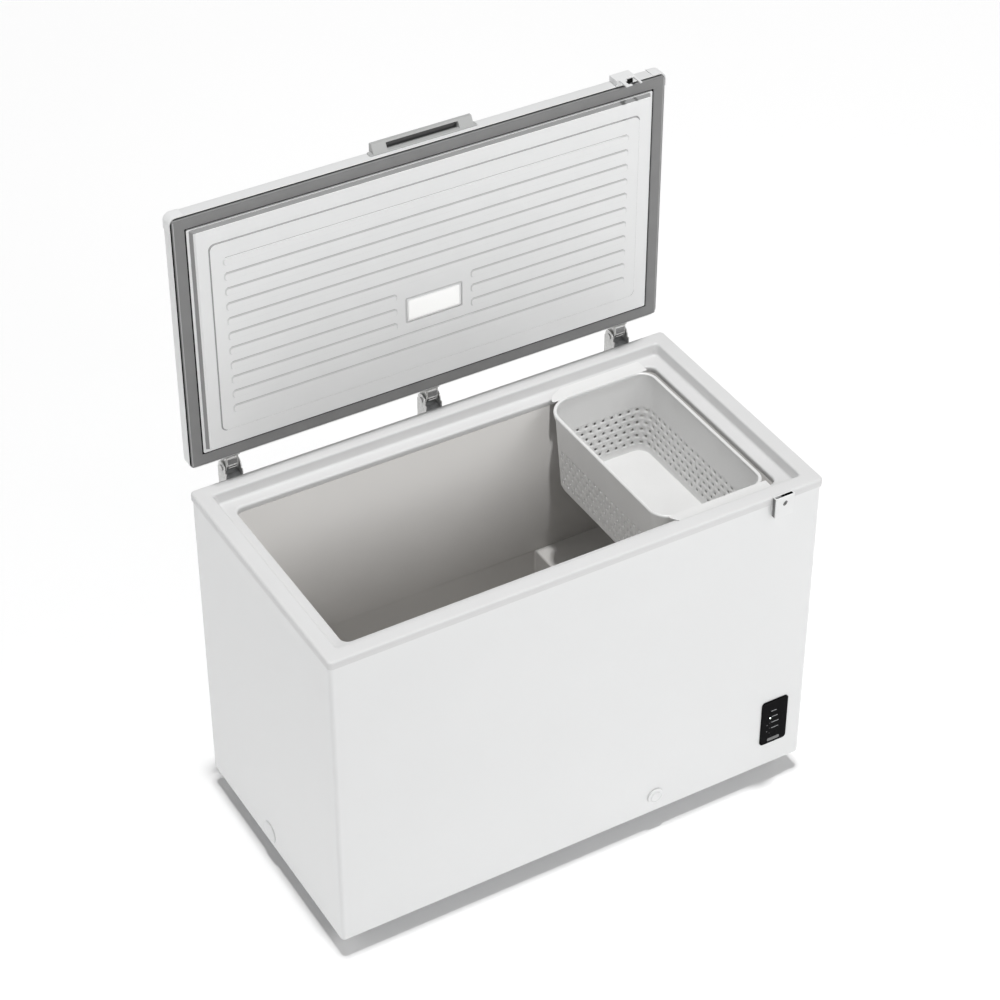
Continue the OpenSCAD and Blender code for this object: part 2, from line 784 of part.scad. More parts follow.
// Open basket whose front and rear rims hang on the ledge
module basket() {
    t = 2.5;
    rim_z = ledge_top + 0.2;
    rim_t = 2.2;
    bottom = rim_z - basket_h;
    r = 40;
    color("white") translate([basket_x + basket_w / 2, 0, 0]) difference() {
        union() {
            rounded_block(basket_w, basket_d, r, bottom, rim_z + rim_t);
            rounded_block(basket_w, ring_in_d - 10, 12, rim_z, rim_z + rim_t);
        }
        rounded_block(basket_w - 2 * t, basket_d - 2 * t, r - t, bottom + t, rim_z + 10);
    }
}

// ---------- lid ----------

// Painted steel tray that forms the lid's top and rim
module lid_panel() {
    color("white") raised() difference() {
        rounded_block(lid_w, lid_d, lid_r, lid_bottom, lid_top);
        rounded_block(lid_w - 2 * sheet, lid_d - 2 * sheet, lid_r - sheet,
            lid_bottom - 1, lid_top - sheet);
        for (side = [-1, 1]) corner_cut(side, 0.2);
    }
}

// Room for one of the plastic caps on the lid's front corners, grown by g
module corner_cut(side, g) {
    length = 30 + g;
    translate([side > 0 ? lid_w / 2 - length : -lid_w / 2 - 5, lid_front - 5, lid_bottom - 1])
        cube([length + 5, length + 5, lid_h - sheet + 1 - 0.2 + g]);
}

// The lip and the plug of the lid's inner moulding, shrunk by g, up to the height top
module lining_shape(g, top) {
    rounded_block(lip_w - 2 * g, lip_d - 2 * g, lining_r - g / 2, lip_z + g, top);
    translate([0, plug_y, 0])
        rounded_block(plug_w - 2 * g, plug_d - 2 * g, lining_r - g / 2, plug_z + g, top);
}

// Foam between the lid's steel top and its inner moulding
module lid_foam() {
    color("khaki") raised() difference() {
        union() {
            rounded_block(lid_w - 2 * sheet - 0.4, lid_d - 2 * sheet - 0.4, lid_r - sheet,
                flange_z + moulding_t + 0.1, lid_top - sheet - 0.1);
            lining_shape(moulding_t + 0.1, flange_z + moulding_t + 1);
        }
        block([-lamp_w / 2 - 6, lamp_y - lamp_d / 2 - 6, plug_z],
            [lamp_w / 2 + 6, lamp_y + lamp_d / 2 + 6, plug_z + 22]);
    }
}

// One stiffening bead from x0 to x1, with round ends
module bead(x0, x1, y) {
    width = 20;
    height = 1.6;
    translate([(x0 + x1) / 2, y, plug_z - height])
        linear_extrude(height + 0.2) rounded_rect(x1 - x0, width, width / 2 - 0.01);
}

// White moulding inside the lid: flange, lip, plug and stiffening beads
module lid_liner() {
    bead_end = mouth_w / 2 - 38;
    color("white") raised() difference() {
        union() {
            rounded_block(lid_w - 2 * sheet - 1, lid_d - 2 * sheet - 1, 12, flange_z, flange_z + moulding_t);
            lining_shape(0, flange_z + moulding_t);
            for (i = [0 : bead_count - 1])
                if (i < lamp_rows[0] || i > lamp_rows[1])
                    bead(-bead_end, bead_end, bead_y0 + i * bead_pitch);
                else
                    for (side = [-1, 1])
                        bead(side > 0 ? 84 : -bead_end, side > 0 ? bead_end : -84,
                            bead_y0 + i * bead_pitch);
        }
        lining_shape(moulding_t, lid_top);
        block([-lamp_w / 2 - 2, lamp_y - lamp_d / 2 - 2, plug_z - 3],
            [lamp_w / 2 + 2, lamp_y + lamp_d / 2 + 2, plug_z + 4]);
    }
}

// Grey magnetic seal round the lid
module lid_gasket() {
    w = lid_w - 8;
    d = lid_d - 8;
    color("gray") raised() {
        frame([w, d], 5, [w - 2 * gasket_w, d - 2 * gasket_w], 2, seal_z, flange_z - 2);
        frame([w - 14, d - 14], 3, [w - 2 * gasket_w + 14, d - 2 * gasket_w + 14], 3,
            flange_z - 2.5, flange_z);
    }
}

// Rounded plastic caps on the lid's two front corners
module lid_corner_caps() {
    color("white") raised() intersection() {
        frame([lid_w, lid_d], lid_r, [lid_w - 2 * sheet, lid_d - 2 * sheet], lid_r - sheet,
            lid_bottom, lid_top - sheet - 0.2);
        for (side = [-1, 1]) corner_cut(side, -0.2);
    }
}

// Grey wedge-shaped grip on the lid's front edge, with a finger recess under it
module lid_handle() {
    low = lid_top - 21;
    back = lid_front - 0.1;
    front = lid_front - handle_out;
    foot = 8;
    color("darkgray") raised() difference() {
        union() {
            translate([-handle_w / 2, 0, 0]) rotate([90, 0, 90]) linear_extrude(handle_w) polygon([
                [back, lid_top], [front + 2, lid_top], [front, lid_top - 2], [front, lid_top - 9],
                [back - 2, low], [back, low],
            ]);
            block([-handle_w / 2 - foot, back - 2, low], [handle_w / 2 + foot, back, lid_top - 4]);
        }
        block([-86, front + 4, low - 1], [86, back - 4, lid_top - 4]);
    }
}

// Forked hasp that drops into the lock's housing
module lid_hasp() {
    low = lock_top + 1.5;
    tip = collar_top - 24;
    y0 = tine_y - tine_t / 2;
    color("white") raised() difference() {
        union() {
            block([lock_x - 26, y0 - 0.5, lid_bottom], [lock_x + 19, lid_front - 0.1, lid_bottom + 26]);
            block([lock_x - 26, y0 - 0.5, low], [lock_x + 19, y0 + tine_t + 1, lid_bottom + 1]);
            block([lock_x - 19.5, y0, tip], [lock_x - 5, y0 + tine_t, low + 1]);
            block([lock_x + 13, y0, tip], [lock_x + 18, y0 + tine_t, low + 1]);
        }
        block([lock_x - 11, y0 - 1, cylinder_z - 4.5], [lock_x - 4, y0 + tine_t + 1, cylinder_z + 11]);
    }
}

// Lamp tray behind the lens
module lamp_base() {
    color("white") raised() difference() {
        block([-lamp_w / 2 - 5.8, lamp_y - lamp_d / 2 - 5.8, plug_z + moulding_t + 0.1],
            [lamp_w / 2 + 5.8, lamp_y + lamp_d / 2 + 5.8, plug_z + 21]);
        block([-lamp_w / 2, lamp_y - lamp_d / 2, plug_z], [lamp_w / 2, lamp_y + lamp_d / 2, plug_z + 19]);
    }
}

// Strip of light-emitting diodes
module lamp_board() {
    color("lightyellow") raised() {
        block([-lamp_w / 2 + 3, lamp_y - 9, plug_z + 17], [lamp_w / 2 - 3, lamp_y + 9, plug_z + 18.6]);
        for (i = [-3 : 3])
            block([i * 16 - 2, lamp_y - 2, plug_z + 16], [i * 16 + 2, lamp_y + 2, plug_z + 17.2]);
    }
}

// Clear lens with a stepped edge
module lamp_lens() {
    color("ivory") raised() translate([0, lamp_y, 0]) {
        rounded_block(lamp_w + 3.4, lamp_d + 3.4, 3, plug_z + 0.4, plug_z + moulding_t);
        rounded_block(lamp_w - 0.6, lamp_d - 0.6, 3, plug_z - 1.2, plug_z + 4);
    }
}

// ---------- castors ----------

// Steel top plates with the swivel pins
module castor_plates() {
    color("silver") for (x = castor_xs, y = castor_ys) translate([x, y, 0]) {
        difference() {
            rounded_block(52, 52, 6, underside - plate_t, underside);
            for (dx = [-20, 20], dy = [-20, 20])
                translate([dx, dy, underside - 5]) cylinder(r = 2, h = 10);
        }
        translate([0, 0, underside - 12]) cylinder(r = 4, h = 11);
        translate([0, 0, underside - 13.2]) cylinder(r = 6, h = 1.8);
    }
}

// Pressed fork that turns on the swivel pin, with its wheel trailing towards the rear
module castor_fork(x, y) {
    top = underside - plate_t - 0.5;
    t = 1.8;
    axle_z = wheel_r;
    color("gray") translate([x, y, 0]) difference() {
        union() {
            translate([0, 0, top - 3]) cylinder(r = 15, h = 3);
            translate([0, 0, top - 5.4]) block([-12, -10, 0], [12, trail + 8, 2.6]);
            for (side = [-1, 1]) translate([side > 0 ? 12 - t : -12, 0, 0]) {
                block([0, trail - 8, axle_z], [t, trail + 8, top - 3]);
                block([0, -10, axle_z + 12], [t, trail, top - 3]);
                translate([t / 2, trail, axle_z]) rotate([0, 90, 0]) cylinder(r = 8, h = t, center = true);
            }
        }
        translate([0, 0, top - 20]) cylinder(r = 4.05, h = 30);
        translate([0, 0, top - 20]) cylinder(r = 7, h = 13.8);
        bar_x([0, trail, axle_z], 2.5, 40);
    }
}

// Riveted axle through a fork
module castor_axle(x, y) {
    color("silver") translate([x, y + trail, wheel_r]) rotate([0, 90, 0]) {
        cylinder(r = 2.5, h = 24.4, center = true);
        for (side = [-1, 1]) translate([0, 0, side * 12.6]) cylinder(r = 4, h = 1, center = true);
    }
}

// Wheel with a rounded tread, turning on its axle
module castor_wheel(x, y) {
    w = 18;
    edge = 2.5;
    color("black") translate([x, y + trail, wheel_r]) rotate([0, 90, 0]) difference() {
        union() {
            cylinder(r = wheel_r, h = w - 2 * edge, center = true);
            cylinder(r = wheel_r - edge, h = w, center = true);
            for (side = [-1, 1])
                translate([0, 0, side * (w / 2 - edge)]) rotate_extrude()
                    translate([wheel_r - edge, 0]) circle(edge);
        }
        cylinder(r = 2.56, h = 40, center = true);
        for (side = [-1, 1])
            translate([0, 0, side * w / 2]) difference() {
                cylinder(r = wheel_r - 5, h = 5, center = true);
                cylinder(r = 5, h = 6, center = true);
            }
    }
}

outer_shell();
rear_panel();
base_plate();
foam_insulation();
liner_walls();
liner_floor();
top_collar();
compressor_tray();
compressor();
compressor_grommets();
relay_cover();
evaporator_coil();
condenser_coil();
filter_drier();
refrigerant_tubes();
drain_tube();
side_vent_grille();
rear_service_cover();
cord_gland();
panel_housing();
panel_fascia();
control_board();
indicator_leds();
set_button();
lock_housing();
lock_cylinder();
lock_cam();
hinge_brackets();
hinge_pins();
hinge_springs();
hinge_leaves();
hinge_leaf_screws();
cabinet_screws();
side_cap();
front_drain_cap();
inner_drain_plug();
basket();
lid_panel();
lid_foam();
lid_liner();
lid_gasket();
lid_corner_caps();
lid_handle();
lid_hasp();
lamp_base();
lamp_board();
lamp_lens();
castor_plates();
castor_fork(-castor_x, -castor_y);  // castor_fork_front_left
castor_fork(castor_x, -castor_y);  // castor_fork_front_right
castor_fork(-castor_x, castor_y);  // castor_fork_rear_left
castor_fork(castor_x, castor_y);  // castor_fork_rear_right
castor_axle(-castor_x, -castor_y);  // castor_axle_front_left
castor_axle(castor_x, -castor_y);  // castor_axle_front_right
castor_axle(-castor_x, castor_y);  // castor_axle_rear_left
castor_axle(castor_x, castor_y);  // castor_axle_rear_right
castor_wheel(-castor_x, -castor_y);  // castor_wheel_front_left
castor_wheel(castor_x, -castor_y);  // castor_wheel_front_right
castor_wheel(-castor_x, castor_y);  // castor_wheel_rear_left
castor_wheel(castor_x, castor_y);  // castor_wheel_rear_right
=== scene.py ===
import json
import math

import bmesh
import bpy
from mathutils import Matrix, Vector


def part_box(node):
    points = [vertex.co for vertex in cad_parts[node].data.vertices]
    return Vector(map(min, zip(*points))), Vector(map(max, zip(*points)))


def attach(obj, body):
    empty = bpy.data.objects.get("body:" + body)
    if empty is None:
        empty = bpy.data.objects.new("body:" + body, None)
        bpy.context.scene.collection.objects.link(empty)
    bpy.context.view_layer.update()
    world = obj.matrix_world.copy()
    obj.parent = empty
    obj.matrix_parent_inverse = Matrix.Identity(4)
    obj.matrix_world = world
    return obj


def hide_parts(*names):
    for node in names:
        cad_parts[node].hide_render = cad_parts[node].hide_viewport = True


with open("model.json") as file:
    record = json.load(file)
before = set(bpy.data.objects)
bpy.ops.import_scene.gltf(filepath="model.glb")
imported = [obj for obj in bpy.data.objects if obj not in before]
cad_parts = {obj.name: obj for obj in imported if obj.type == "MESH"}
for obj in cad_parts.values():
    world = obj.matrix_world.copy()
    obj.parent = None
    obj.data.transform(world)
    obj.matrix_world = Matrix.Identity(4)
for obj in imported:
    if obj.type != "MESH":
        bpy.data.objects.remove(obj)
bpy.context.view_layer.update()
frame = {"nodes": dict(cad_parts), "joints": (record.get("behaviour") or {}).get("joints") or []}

# Sizes are millimetres in the frame of the CAD part; piece() turns them into metres.
MM = 0.001
JOINTS = {joint["name"]: joint for joint in frame["joints"]}
HINGE_Y, HINGE_Z = (value / MM for value in JOINTS["lid_hinge"]["pos_m"][1:])
CORNERS = ("front_left", "front_right", "rear_left", "rear_right")


# ---------- places ----------

def box_mm(node):
    """Lowest and highest corner of a CAD node at rest, in millimetres."""
    low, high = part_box(node)
    return low / MM, high / MM


def raised(point):
    """Where a point of the shut lid stands while the lid is open."""
    x, y, z = point
    return (x, HINGE_Y + (z - HINGE_Z), HINGE_Z - (y - HINGE_Y))


def shut_box(node):
    """Lowest and highest corner of a lid node, as if the lid were shut."""
    low, high = box_mm(node)
    return (Vector((low.x, HINGE_Y + HINGE_Z - high.z, low.y - HINGE_Y + HINGE_Z)),
            Vector((high.x, HINGE_Y + HINGE_Z - low.z, high.y - HINGE_Y + HINGE_Z)))


# ---------- shapes ----------

def rounded_loop(half_x, half_y, radius, z, centre=(0, 0), steps=8):
    """Points round a rectangle with round corners. radius is one number, or one for each corner
    in the order front right, rear right, rear left, front left."""
    radii = radius if isinstance(radius, tuple) else (radius,) * 4
    points = []
    for turn, (side_x, side_y) in enumerate(((1, -1), (1, 1), (-1, 1), (-1, -1))):
        r = max(min(radii[turn], half_x - 0.01, half_y - 0.01), 0.01)
        for i in range(steps + 1):
            angle = math.pi / 2 * (turn - 1 + i / steps)
            points.append((centre[0] + side_x * (half_x - r) + r * math.cos(angle),
                           centre[1] + side_y * (half_y - r) + r * math.sin(angle), z))
    return points


def loft(loops, closed=False, caps=True):
    """Skin through loops of equally many points. closed joins the last loop to the first."""
    count, rows = len(loops[0]), len(loops)
    verts = [point for loop in loops for point in loop]
    faces = []
    for row in range(rows if closed else rows - 1):
        a, b = row * count, (row + 1) % rows * count
        for j in range(count):
            k = (j + 1) % count
            faces.append((a + j, a + k, b + k, b + j))
    if caps and not closed:
        faces.append(tuple(range(count)))
        faces.append(tuple(range((rows - 1) * count, rows * count)))
    return verts, faces


def joined(*meshes):
    """Several (verts, faces) as one."""
    verts, faces = [], []
    for more_verts, more_faces in meshes:
        base = len(verts)
        verts += more_verts
        faces += [tuple(base + i for i in face) for face in more_faces]
    return verts, faces


def rounded_path(points, closed=False, steps=4):
    """Outline through points (a, b, r), each corner rounded to about its radius r."""
    path = []
    for i, (a, b, r) in enumerate(points):
        corner = Vector((a, b))
        if r == 0 or (not closed and i in (0, len(points) - 1)):
            path.append((a, b))
            continue
        before = Vector(points[i - 1][:2]) - corner
        after = Vector(points[(i + 1) % len(points)][:2]) - corner
        reach = min(r / math.tan(before.angle(after) / 2), 0.49 * before.length, 0.49 * after.length)
        start = corner + before.normalized() * reach
        end = corner + after.normalized() * reach
        for k in range(steps + 1):
            t = k / steps
            path.append(tuple(start * (1 - t) ** 2 + corner * 2 * t * (1 - t) + end * t * t))
    return path


def framed(half_x, half_y, profile, corner, centre=(0, 0)):
    """Loops of a profile (inset, height) carried round a rectangle. corner gives the corner radius
    at an inset."""
    return [rounded_loop(half_x - inset, half_y - inset, corner(inset), z, centre)
            for inset, z in profile]


def extruded(outline, low, high):
    """Prism over an outline of points (a, b), from low to high along the third axis."""
    return loft([[(a, b, low) for a, b in outline], [(a, b, high) for a, b in outline]])


def block(low, high):
    """Box from one corner to the other."""
    return extruded([(low[0], low[1]), (high[0], low[1]), (high[0], high[1]), (low[0], high[1])],
                    low[2], high[2])


def turned(profile):
    """Loops of a profile (radius, height) turned about the Z axis."""
    return [rounded_loop(r, r, r, z, steps=10) for r, z in profile]


def facing_front(x, z, y):
    """Places a shape made about the Z axis so that its +Z points to the front, at (x, y, z)."""
    return lambda p: (x + p[0], y - p[2], z + p[1])


def facing_left(y, z, x):
    """Places a shape made about the Z axis so that its +Z points to the left, at (x, y, z)."""
    return lambda p: (x - p[2], y - p[0], z + p[1])


def along_x(x, y, z):
    """Places a shape made about the Z axis so that it lies along X, at (x, y, z)."""
    return lambda p: (x + p[2], y + p[0], z + p[1])


# ---------- objects ----------

SMOOTH_ANGLE = math.radians(32)


def shade(obj):
    """Smooth shading with sharp edges where the surface turns by more than SMOOTH_ANGLE."""
    mesh = bmesh.new()
    mesh.from_mesh(obj.data)
    bmesh.ops.remove_doubles(mesh, verts=mesh.verts, dist=1e-6)
    bmesh.ops.recalc_face_normals(mesh, faces=mesh.faces)
    for face in mesh.faces:
        face.smooth = True
    for edge in mesh.edges:
        if len(edge.link_faces) == 2:
            edge.smooth = edge.calc_face_angle(0) < SMOOTH_ANGLE
    mesh.to_mesh(obj.data)
    mesh.free()


def soften(obj, width, segments=3):
    """Rounds an object's hard edges."""
    bevel = obj.modifiers.new("bevel", "BEVEL")
    bevel.width = width * MM
    bevel.segments = segments
    bevel.limit_method = "ANGLE"
    bevel.angle_limit = SMOOTH_ANGLE
    bevel.use_clamp_overlap = True
    obj.modifiers.new("normals", "WEIGHTED_NORMAL")


def piece(name, shape, look, body, replaced=(), bevel=0, place=None, thick=0):
    """New object of a (verts, faces) shape that moves with a body."""
    verts, faces = shape
    mesh = bpy.data.meshes.new(name)
    mesh.from_pydata([Vector(place(v) if place else v) * MM for v in verts], [], faces)
    mesh.materials.append(look)
    obj = bpy.data.objects.new(name, mesh)
    bpy.context.collection.objects.link(obj)
    shade(obj)
    if thick:
        wall = obj.modifiers.new("thickness", "SOLIDIFY")
        wall.thickness = thick * MM
        wall.offset = 0
        wall.use_even_offset = True
    if bevel:
        for edge in obj.data.edges:
            edge.use_edge_sharp = False
        soften(obj, bevel)
    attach(obj, body)
    if replaced:
        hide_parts(*replaced)
    return obj


def paint(look, bevel, *names):
    """Gives CAD nodes a material and, with a bevel, soft edges."""
    for name in names:
        obj = frame["nodes"][name]
        for material_slot in obj.material_slots:
            material_slot.material = look
        if bevel:
            weld = obj.modifiers.new("weld", "WELD")
            weld.merge_threshold = 0.01 * MM
            soften(obj, bevel, 2)


# ---------- materials ----------

def surface(name, slot, colour, rough, metallic=0.0, mottle=0.03, mottle_size=80.0,
            grain=0.15, grain_size=0.8, grain_depth=0.05, cells=False, rough_swing=0.05,
            coat=0.0, specular=0.5):
    """Material whose colour and roughness drift a little over mottle_size, with a bump of
    grain_size and grain_depth; sizes in millimetres. cells gives a pebbled grain."""
    look = bpy.data.materials.new(name)
    look.use_nodes = True
    look["slot"] = slot
    tree = look.node_tree
    new, join = tree.nodes.new, tree.links.new
    shader = tree.nodes["Principled BSDF"]
    shader.inputs["Metallic"].default_value = metallic
    shader.inputs["Specular IOR Level"].default_value = specular
    shader.inputs["Coat Weight"].default_value = coat
    shader.inputs["Coat Roughness"].default_value = 0.12
    coords = new("ShaderNodeTexCoord")
    drift = new("ShaderNodeTexNoise")
    drift.inputs["Scale"].default_value = 1 / (mottle_size * MM)
    drift.inputs["Detail"].default_value = 4
    join(coords.outputs["Object"], drift.inputs["Vector"])
    tint = new("ShaderNodeValToRGB")
    for element, factor in zip(tint.color_ramp.elements, (1 - mottle, 1 + mottle)):
        element.color = (*(min(channel * factor, 1) for channel in colour), 1)
    tint.color_ramp.elements[0].position = 0.3
    tint.color_ramp.elements[1].position = 0.7
    join(drift.outputs["Fac"], tint.inputs["Fac"])
    join(tint.outputs["Color"], shader.inputs["Base Color"])
    gloss = new("ShaderNodeMapRange")
    gloss.inputs["To Min"].default_value = max(rough - rough_swing, 0.02)
    gloss.inputs["To Max"].default_value = rough + rough_swing
    join(drift.outputs["Fac"], gloss.inputs["Value"])
    join(gloss.outputs["Result"], shader.inputs["Roughness"])
    texture = new("ShaderNodeTexVoronoi" if cells else "ShaderNodeTexNoise")
    texture.inputs["Scale"].default_value = 1 / (grain_size * MM)
    join(coords.outputs["Object"], texture.inputs["Vector"])
    bump = new("ShaderNodeBump")
    bump.inputs["Strength"].default_value = grain
    bump.inputs["Distance"].default_value = grain_depth * MM
    join(texture.outputs[0], bump.inputs["Height"])
    join(bump.outputs["Normal"], shader.inputs["Normal"])
    return look


def glowing(name, slot, colour, strength, cell):
    """Lit plastic with a faint grid of brighter spots, cell millimetres apart."""
    look = surface(name, slot, colour, 0.3, mottle=0.01)
    tree = look.node_tree
    shader = tree.nodes["Principled BSDF"]
    coords = tree.nodes.new("ShaderNodeTexCoord")
    spots = tree.nodes.new("ShaderNodeTexVoronoi")
    spots.inputs["Scale"].default_value = 1 / (cell * MM)
    spots.inputs["Randomness"].default_value = 0
    tree.links.new(coords.outputs["Object"], spots.inputs["Vector"])
    glow = tree.nodes.new("ShaderNodeValToRGB")
    glow.color_ramp.elements[0].color = (*colour, 1)
    glow.color_ramp.elements[1].color = (*(0.82 * channel for channel in colour), 1)
    tree.links.new(spots.outputs["Distance"], glow.inputs["Fac"])
    tree.links.new(glow.outputs["Color"], shader.inputs["Emission Color"])
    shader.inputs["Emission Strength"].default_value = strength
    return look


white_paint = surface("white_paint", "painted_steel", (0.77, 0.775, 0.775), 0.32, mottle=0.008,
                      mottle_size=300, grain=0.25, grain_size=1.6, grain_depth=0.02, coat=0.25)
lid_paint = surface("lid_paint", "painted_steel", (0.74, 0.745, 0.745), 0.34, mottle=0.008,
                    mottle_size=260, grain=0.25, grain_size=1.6, grain_depth=0.02, coat=0.2)
rear_paint = surface("rear_paint", "grey_steel", (0.62, 0.63, 0.63), 0.45, mottle=0.02, coat=0.1)
galvanised = surface("galvanised", "galvanised", (0.58, 0.59, 0.60), 0.42, metallic=1.0, mottle=0.16,
                     mottle_size=14, cells=True, grain=0.1, grain_size=9, rough_swing=0.12)
plated = surface("zinc_plate", "plated_steel", (0.60, 0.60, 0.59), 0.42, metallic=0.75, mottle=0.14,
                 mottle_size=5, grain=0.5, grain_size=0.6, grain_depth=0.08, rough_swing=0.12)
# Lit copy of the zinc plate: painted highlights on the hinge leaves.
zinc_highlight = surface("zinc_highlight", "plated_steel", (0.72, 0.72, 0.71), 0.3, metallic=0.85,
                      mottle=0.12, mottle_size=5, grain=0.4, grain_size=0.6, rough_swing=0.1)
spring_steel = surface("spring_steel", "spring_steel", (0.30, 0.30, 0.30), 0.35, metallic=1.0,
                       mottle=0.1, mottle_size=4)
foam_look = surface("rigid_foam", "foam", (0.80, 0.72, 0.48), 0.95, mottle=0.1, mottle_size=12,
                    cells=True, grain=0.6, grain_size=1.5, grain_depth=0.4)
liner_look = surface("embossed_liner", "liner_metal", (0.53, 0.519, 0.504), 0.45,
                     mottle=0.012, mottle_size=160, cells=True, grain=0.12, grain_size=3.0,
                     grain_depth=0.08)
collar_look = surface("collar_plastic", "white_plastic", (0.66, 0.66, 0.66), 0.42, mottle=0.01,
                      mottle_size=120, grain=0.3, grain_size=0.7, grain_depth=0.03)
white_plastic = surface("white_plastic", "white_plastic", (0.78, 0.785, 0.785), 0.38, mottle=0.01,
                        grain=0.25, grain_size=0.7, grain_depth=0.03)
lining_look = surface("lining_plastic", "white_plastic", (0.89, 0.895, 0.895), 0.4, mottle=0.008,
                      grain=0.25, grain_size=0.7, grain_depth=0.03)
# Shaded copy of the white lining plastic: painted shade on bead flanks and the lamp rim.
shaded_flank_look = surface("shaded_flank_plastic", "white_plastic", (0.70, 0.70, 0.70), 0.5, mottle=0.01,
                     grain=0.25, grain_size=0.7, grain_depth=0.03, specular=0.2)
# Painted shade: thin dark lines at the upper foot of each bead.
bead_line_shade_look = surface("bead_line_shade_plastic", "white_plastic", (0.50, 0.50, 0.50), 0.6, mottle=0.02,
                      grain=0.25, grain_size=0.7, grain_depth=0.03, specular=0.1)
# Painted shade: dark outline round the lid's panel.
outline_shade_look = surface("outline_shade_plastic", "white_plastic", (0.36, 0.36, 0.36), 0.6, mottle=0.02,
                    grain=0.25, grain_size=0.7, grain_depth=0.03, specular=0.1)
basket_look = surface("basket_plastic", "basket_plastic", (0.73, 0.73, 0.725), 0.4, mottle=0.012,
                      mottle_size=60, grain=0.3, grain_size=0.9, grain_depth=0.03)
grey_plastic = surface("grey_plastic", "grey_plastic", (0.44, 0.445, 0.44), 0.42, mottle=0.02,
                       grain=0.4, grain_size=0.6, grain_depth=0.04)
gasket_look = surface("gasket_vinyl", "gasket_rubber", (0.235, 0.235, 0.235), 0.55, mottle=0.04,
                      mottle_size=40, grain=0.3, grain_size=0.8)
# Painted highlight: lighter strip for the lip along the seal's ends.
lip_highlight_look = surface("lip_highlight_vinyl", "gasket_rubber", (0.46, 0.46, 0.46), 0.5, mottle=0.03, grain=0.2)
# Painted shade: grey skin on the plug's sloping wall.
wall_shade_look = surface("wall_shade_plastic", "white_plastic", (0.30, 0.30, 0.30), 0.5, mottle=0.03, grain=0.2)
# Near-black sheets put where there is only shade: painted shade in gaps, slots and under parts.
painted_shade_black = surface("painted_shade_black", "gasket_rubber", (0.008, 0.008, 0.008), 0.8, mottle=0.1, grain=0.3,
                     specular=0.05)
# Dark grey: the set button's own colour, and painted shade on the lock case's left side.
button_grey_and_shade_look = surface("button_grey_and_shade_plastic", "grey_plastic", (0.17, 0.17, 0.17), 0.5, mottle=0.05, grain=0.3)
# Painted shade: dark plates for the keyhole and the handle's finger pocket.
painted_shade_grey = surface("painted_shade_grey", "grey_plastic", (0.09, 0.09, 0.09), 0.6, mottle=0.05, grain=0.3)
black_plastic = surface("black_plastic", "black_plastic", (0.018, 0.018, 0.019), 0.45, mottle=0.1,
                        grain=0.4, grain_size=0.6)
panel_gloss = surface("panel_gloss", "panel_black", (0.003, 0.003, 0.0035), 0.25, mottle=0.1,
                      grain=0.02, rough_swing=0.02, specular=0.03)
print_look = surface("panel_print", "panel_black", (0.42, 0.43, 0.44), 0.4, mottle=0.02, grain=0.05)
dim_print = surface("panel_print_dim", "panel_black", (0.07, 0.07, 0.075), 0.4, mottle=0.02, grain=0.05)
black_paint = surface("black_paint", "black_paint", (0.015, 0.015, 0.016), 0.3, mottle=0.15,
                      mottle_size=30, grain=0.3, grain_size=1.2, coat=0.3)
rubber_look = surface("black_rubber", "black_rubber", (0.02, 0.02, 0.02), 0.8, mottle=0.15, grain=0.5)
wheel_look = surface("wheel_rubber", "wheel_rubber", (0.022, 0.022, 0.023), 0.6, mottle=0.15,
                     mottle_size=8, grain=0.5, grain_size=0.8)
copper = surface("copper", "copper", (0.72, 0.36, 0.22), 0.32, metallic=1.0, mottle=0.12,
                 mottle_size=12, rough_swing=0.1)
coil_look = surface("lacquered_tube", "coil_steel", (0.35, 0.28, 0.18), 0.4, metallic=0.8, mottle=0.1,
                    mottle_size=25)
board_look = surface("circuit_board", "board_green", (0.02, 0.16, 0.06), 0.4, mottle=0.2,
                     mottle_size=3, cells=True, grain=0.3, grain_size=2.5, grain_depth=0.1)
lamp_look = glowing("lamp_lens", "lens_clear", (0.90, 0.90, 0.89), 0.34, 5.0)
led_look = glowing("green_led", "led_clear", (0.85, 1.0, 0.9), 4.0, 1.0)
led_off = surface("led_off", "led_clear", (0.02, 0.02, 0.02), 0.3, mottle=0.1, grain=0.1, specular=0.2)
floor_look = surface("studio_floor", "floor", (0.93, 0.93, 0.93), 0.8, mottle=0.002, mottle_size=900,
                     grain=0.0, specular=0.0)


# ---------- cabinet ----------

def build_collar():
    """Moulded collar: band, sealing ring, step, basket ledge and inner lip, all with soft edges."""
    high = box_mm("top_collar")[1]
    top = high.z
    band = top - 18
    ring, ledge = 35, 31
    inner = ring + ledge
    ledge_z = top - 26
    lip_z = ledge_z - 14
    profile = rounded_path([
        (2.6, band, 0.6), (0, band, 0.8), (0, top, 4.5), (ring - 1, top, 5), (ring + 2, ledge_z, 6),
        (inner, ledge_z, 5), (inner, lip_z, 1), (inner - 2.2, lip_z, 0.6),
        (inner - 2.2, ledge_z - 2.5, 1), (ring - 2.4, ledge_z - 2.5, 1),
        (ring - 2.4, top - 2.6, 1), (2.6, top - 2.6, 1),
    ], closed=True)

    def corner(inset):
        """Corner radius: tight outside, wider at the mouth."""
        return 12 + (6 if inset > ring + ledge / 2 else 0) - (3 if inset < ring else 0)

    shape = loft(framed(high.x, high.y, profile, corner), closed=True)
    piece("collar", shape, collar_look, "cabinet", ["top_collar"])


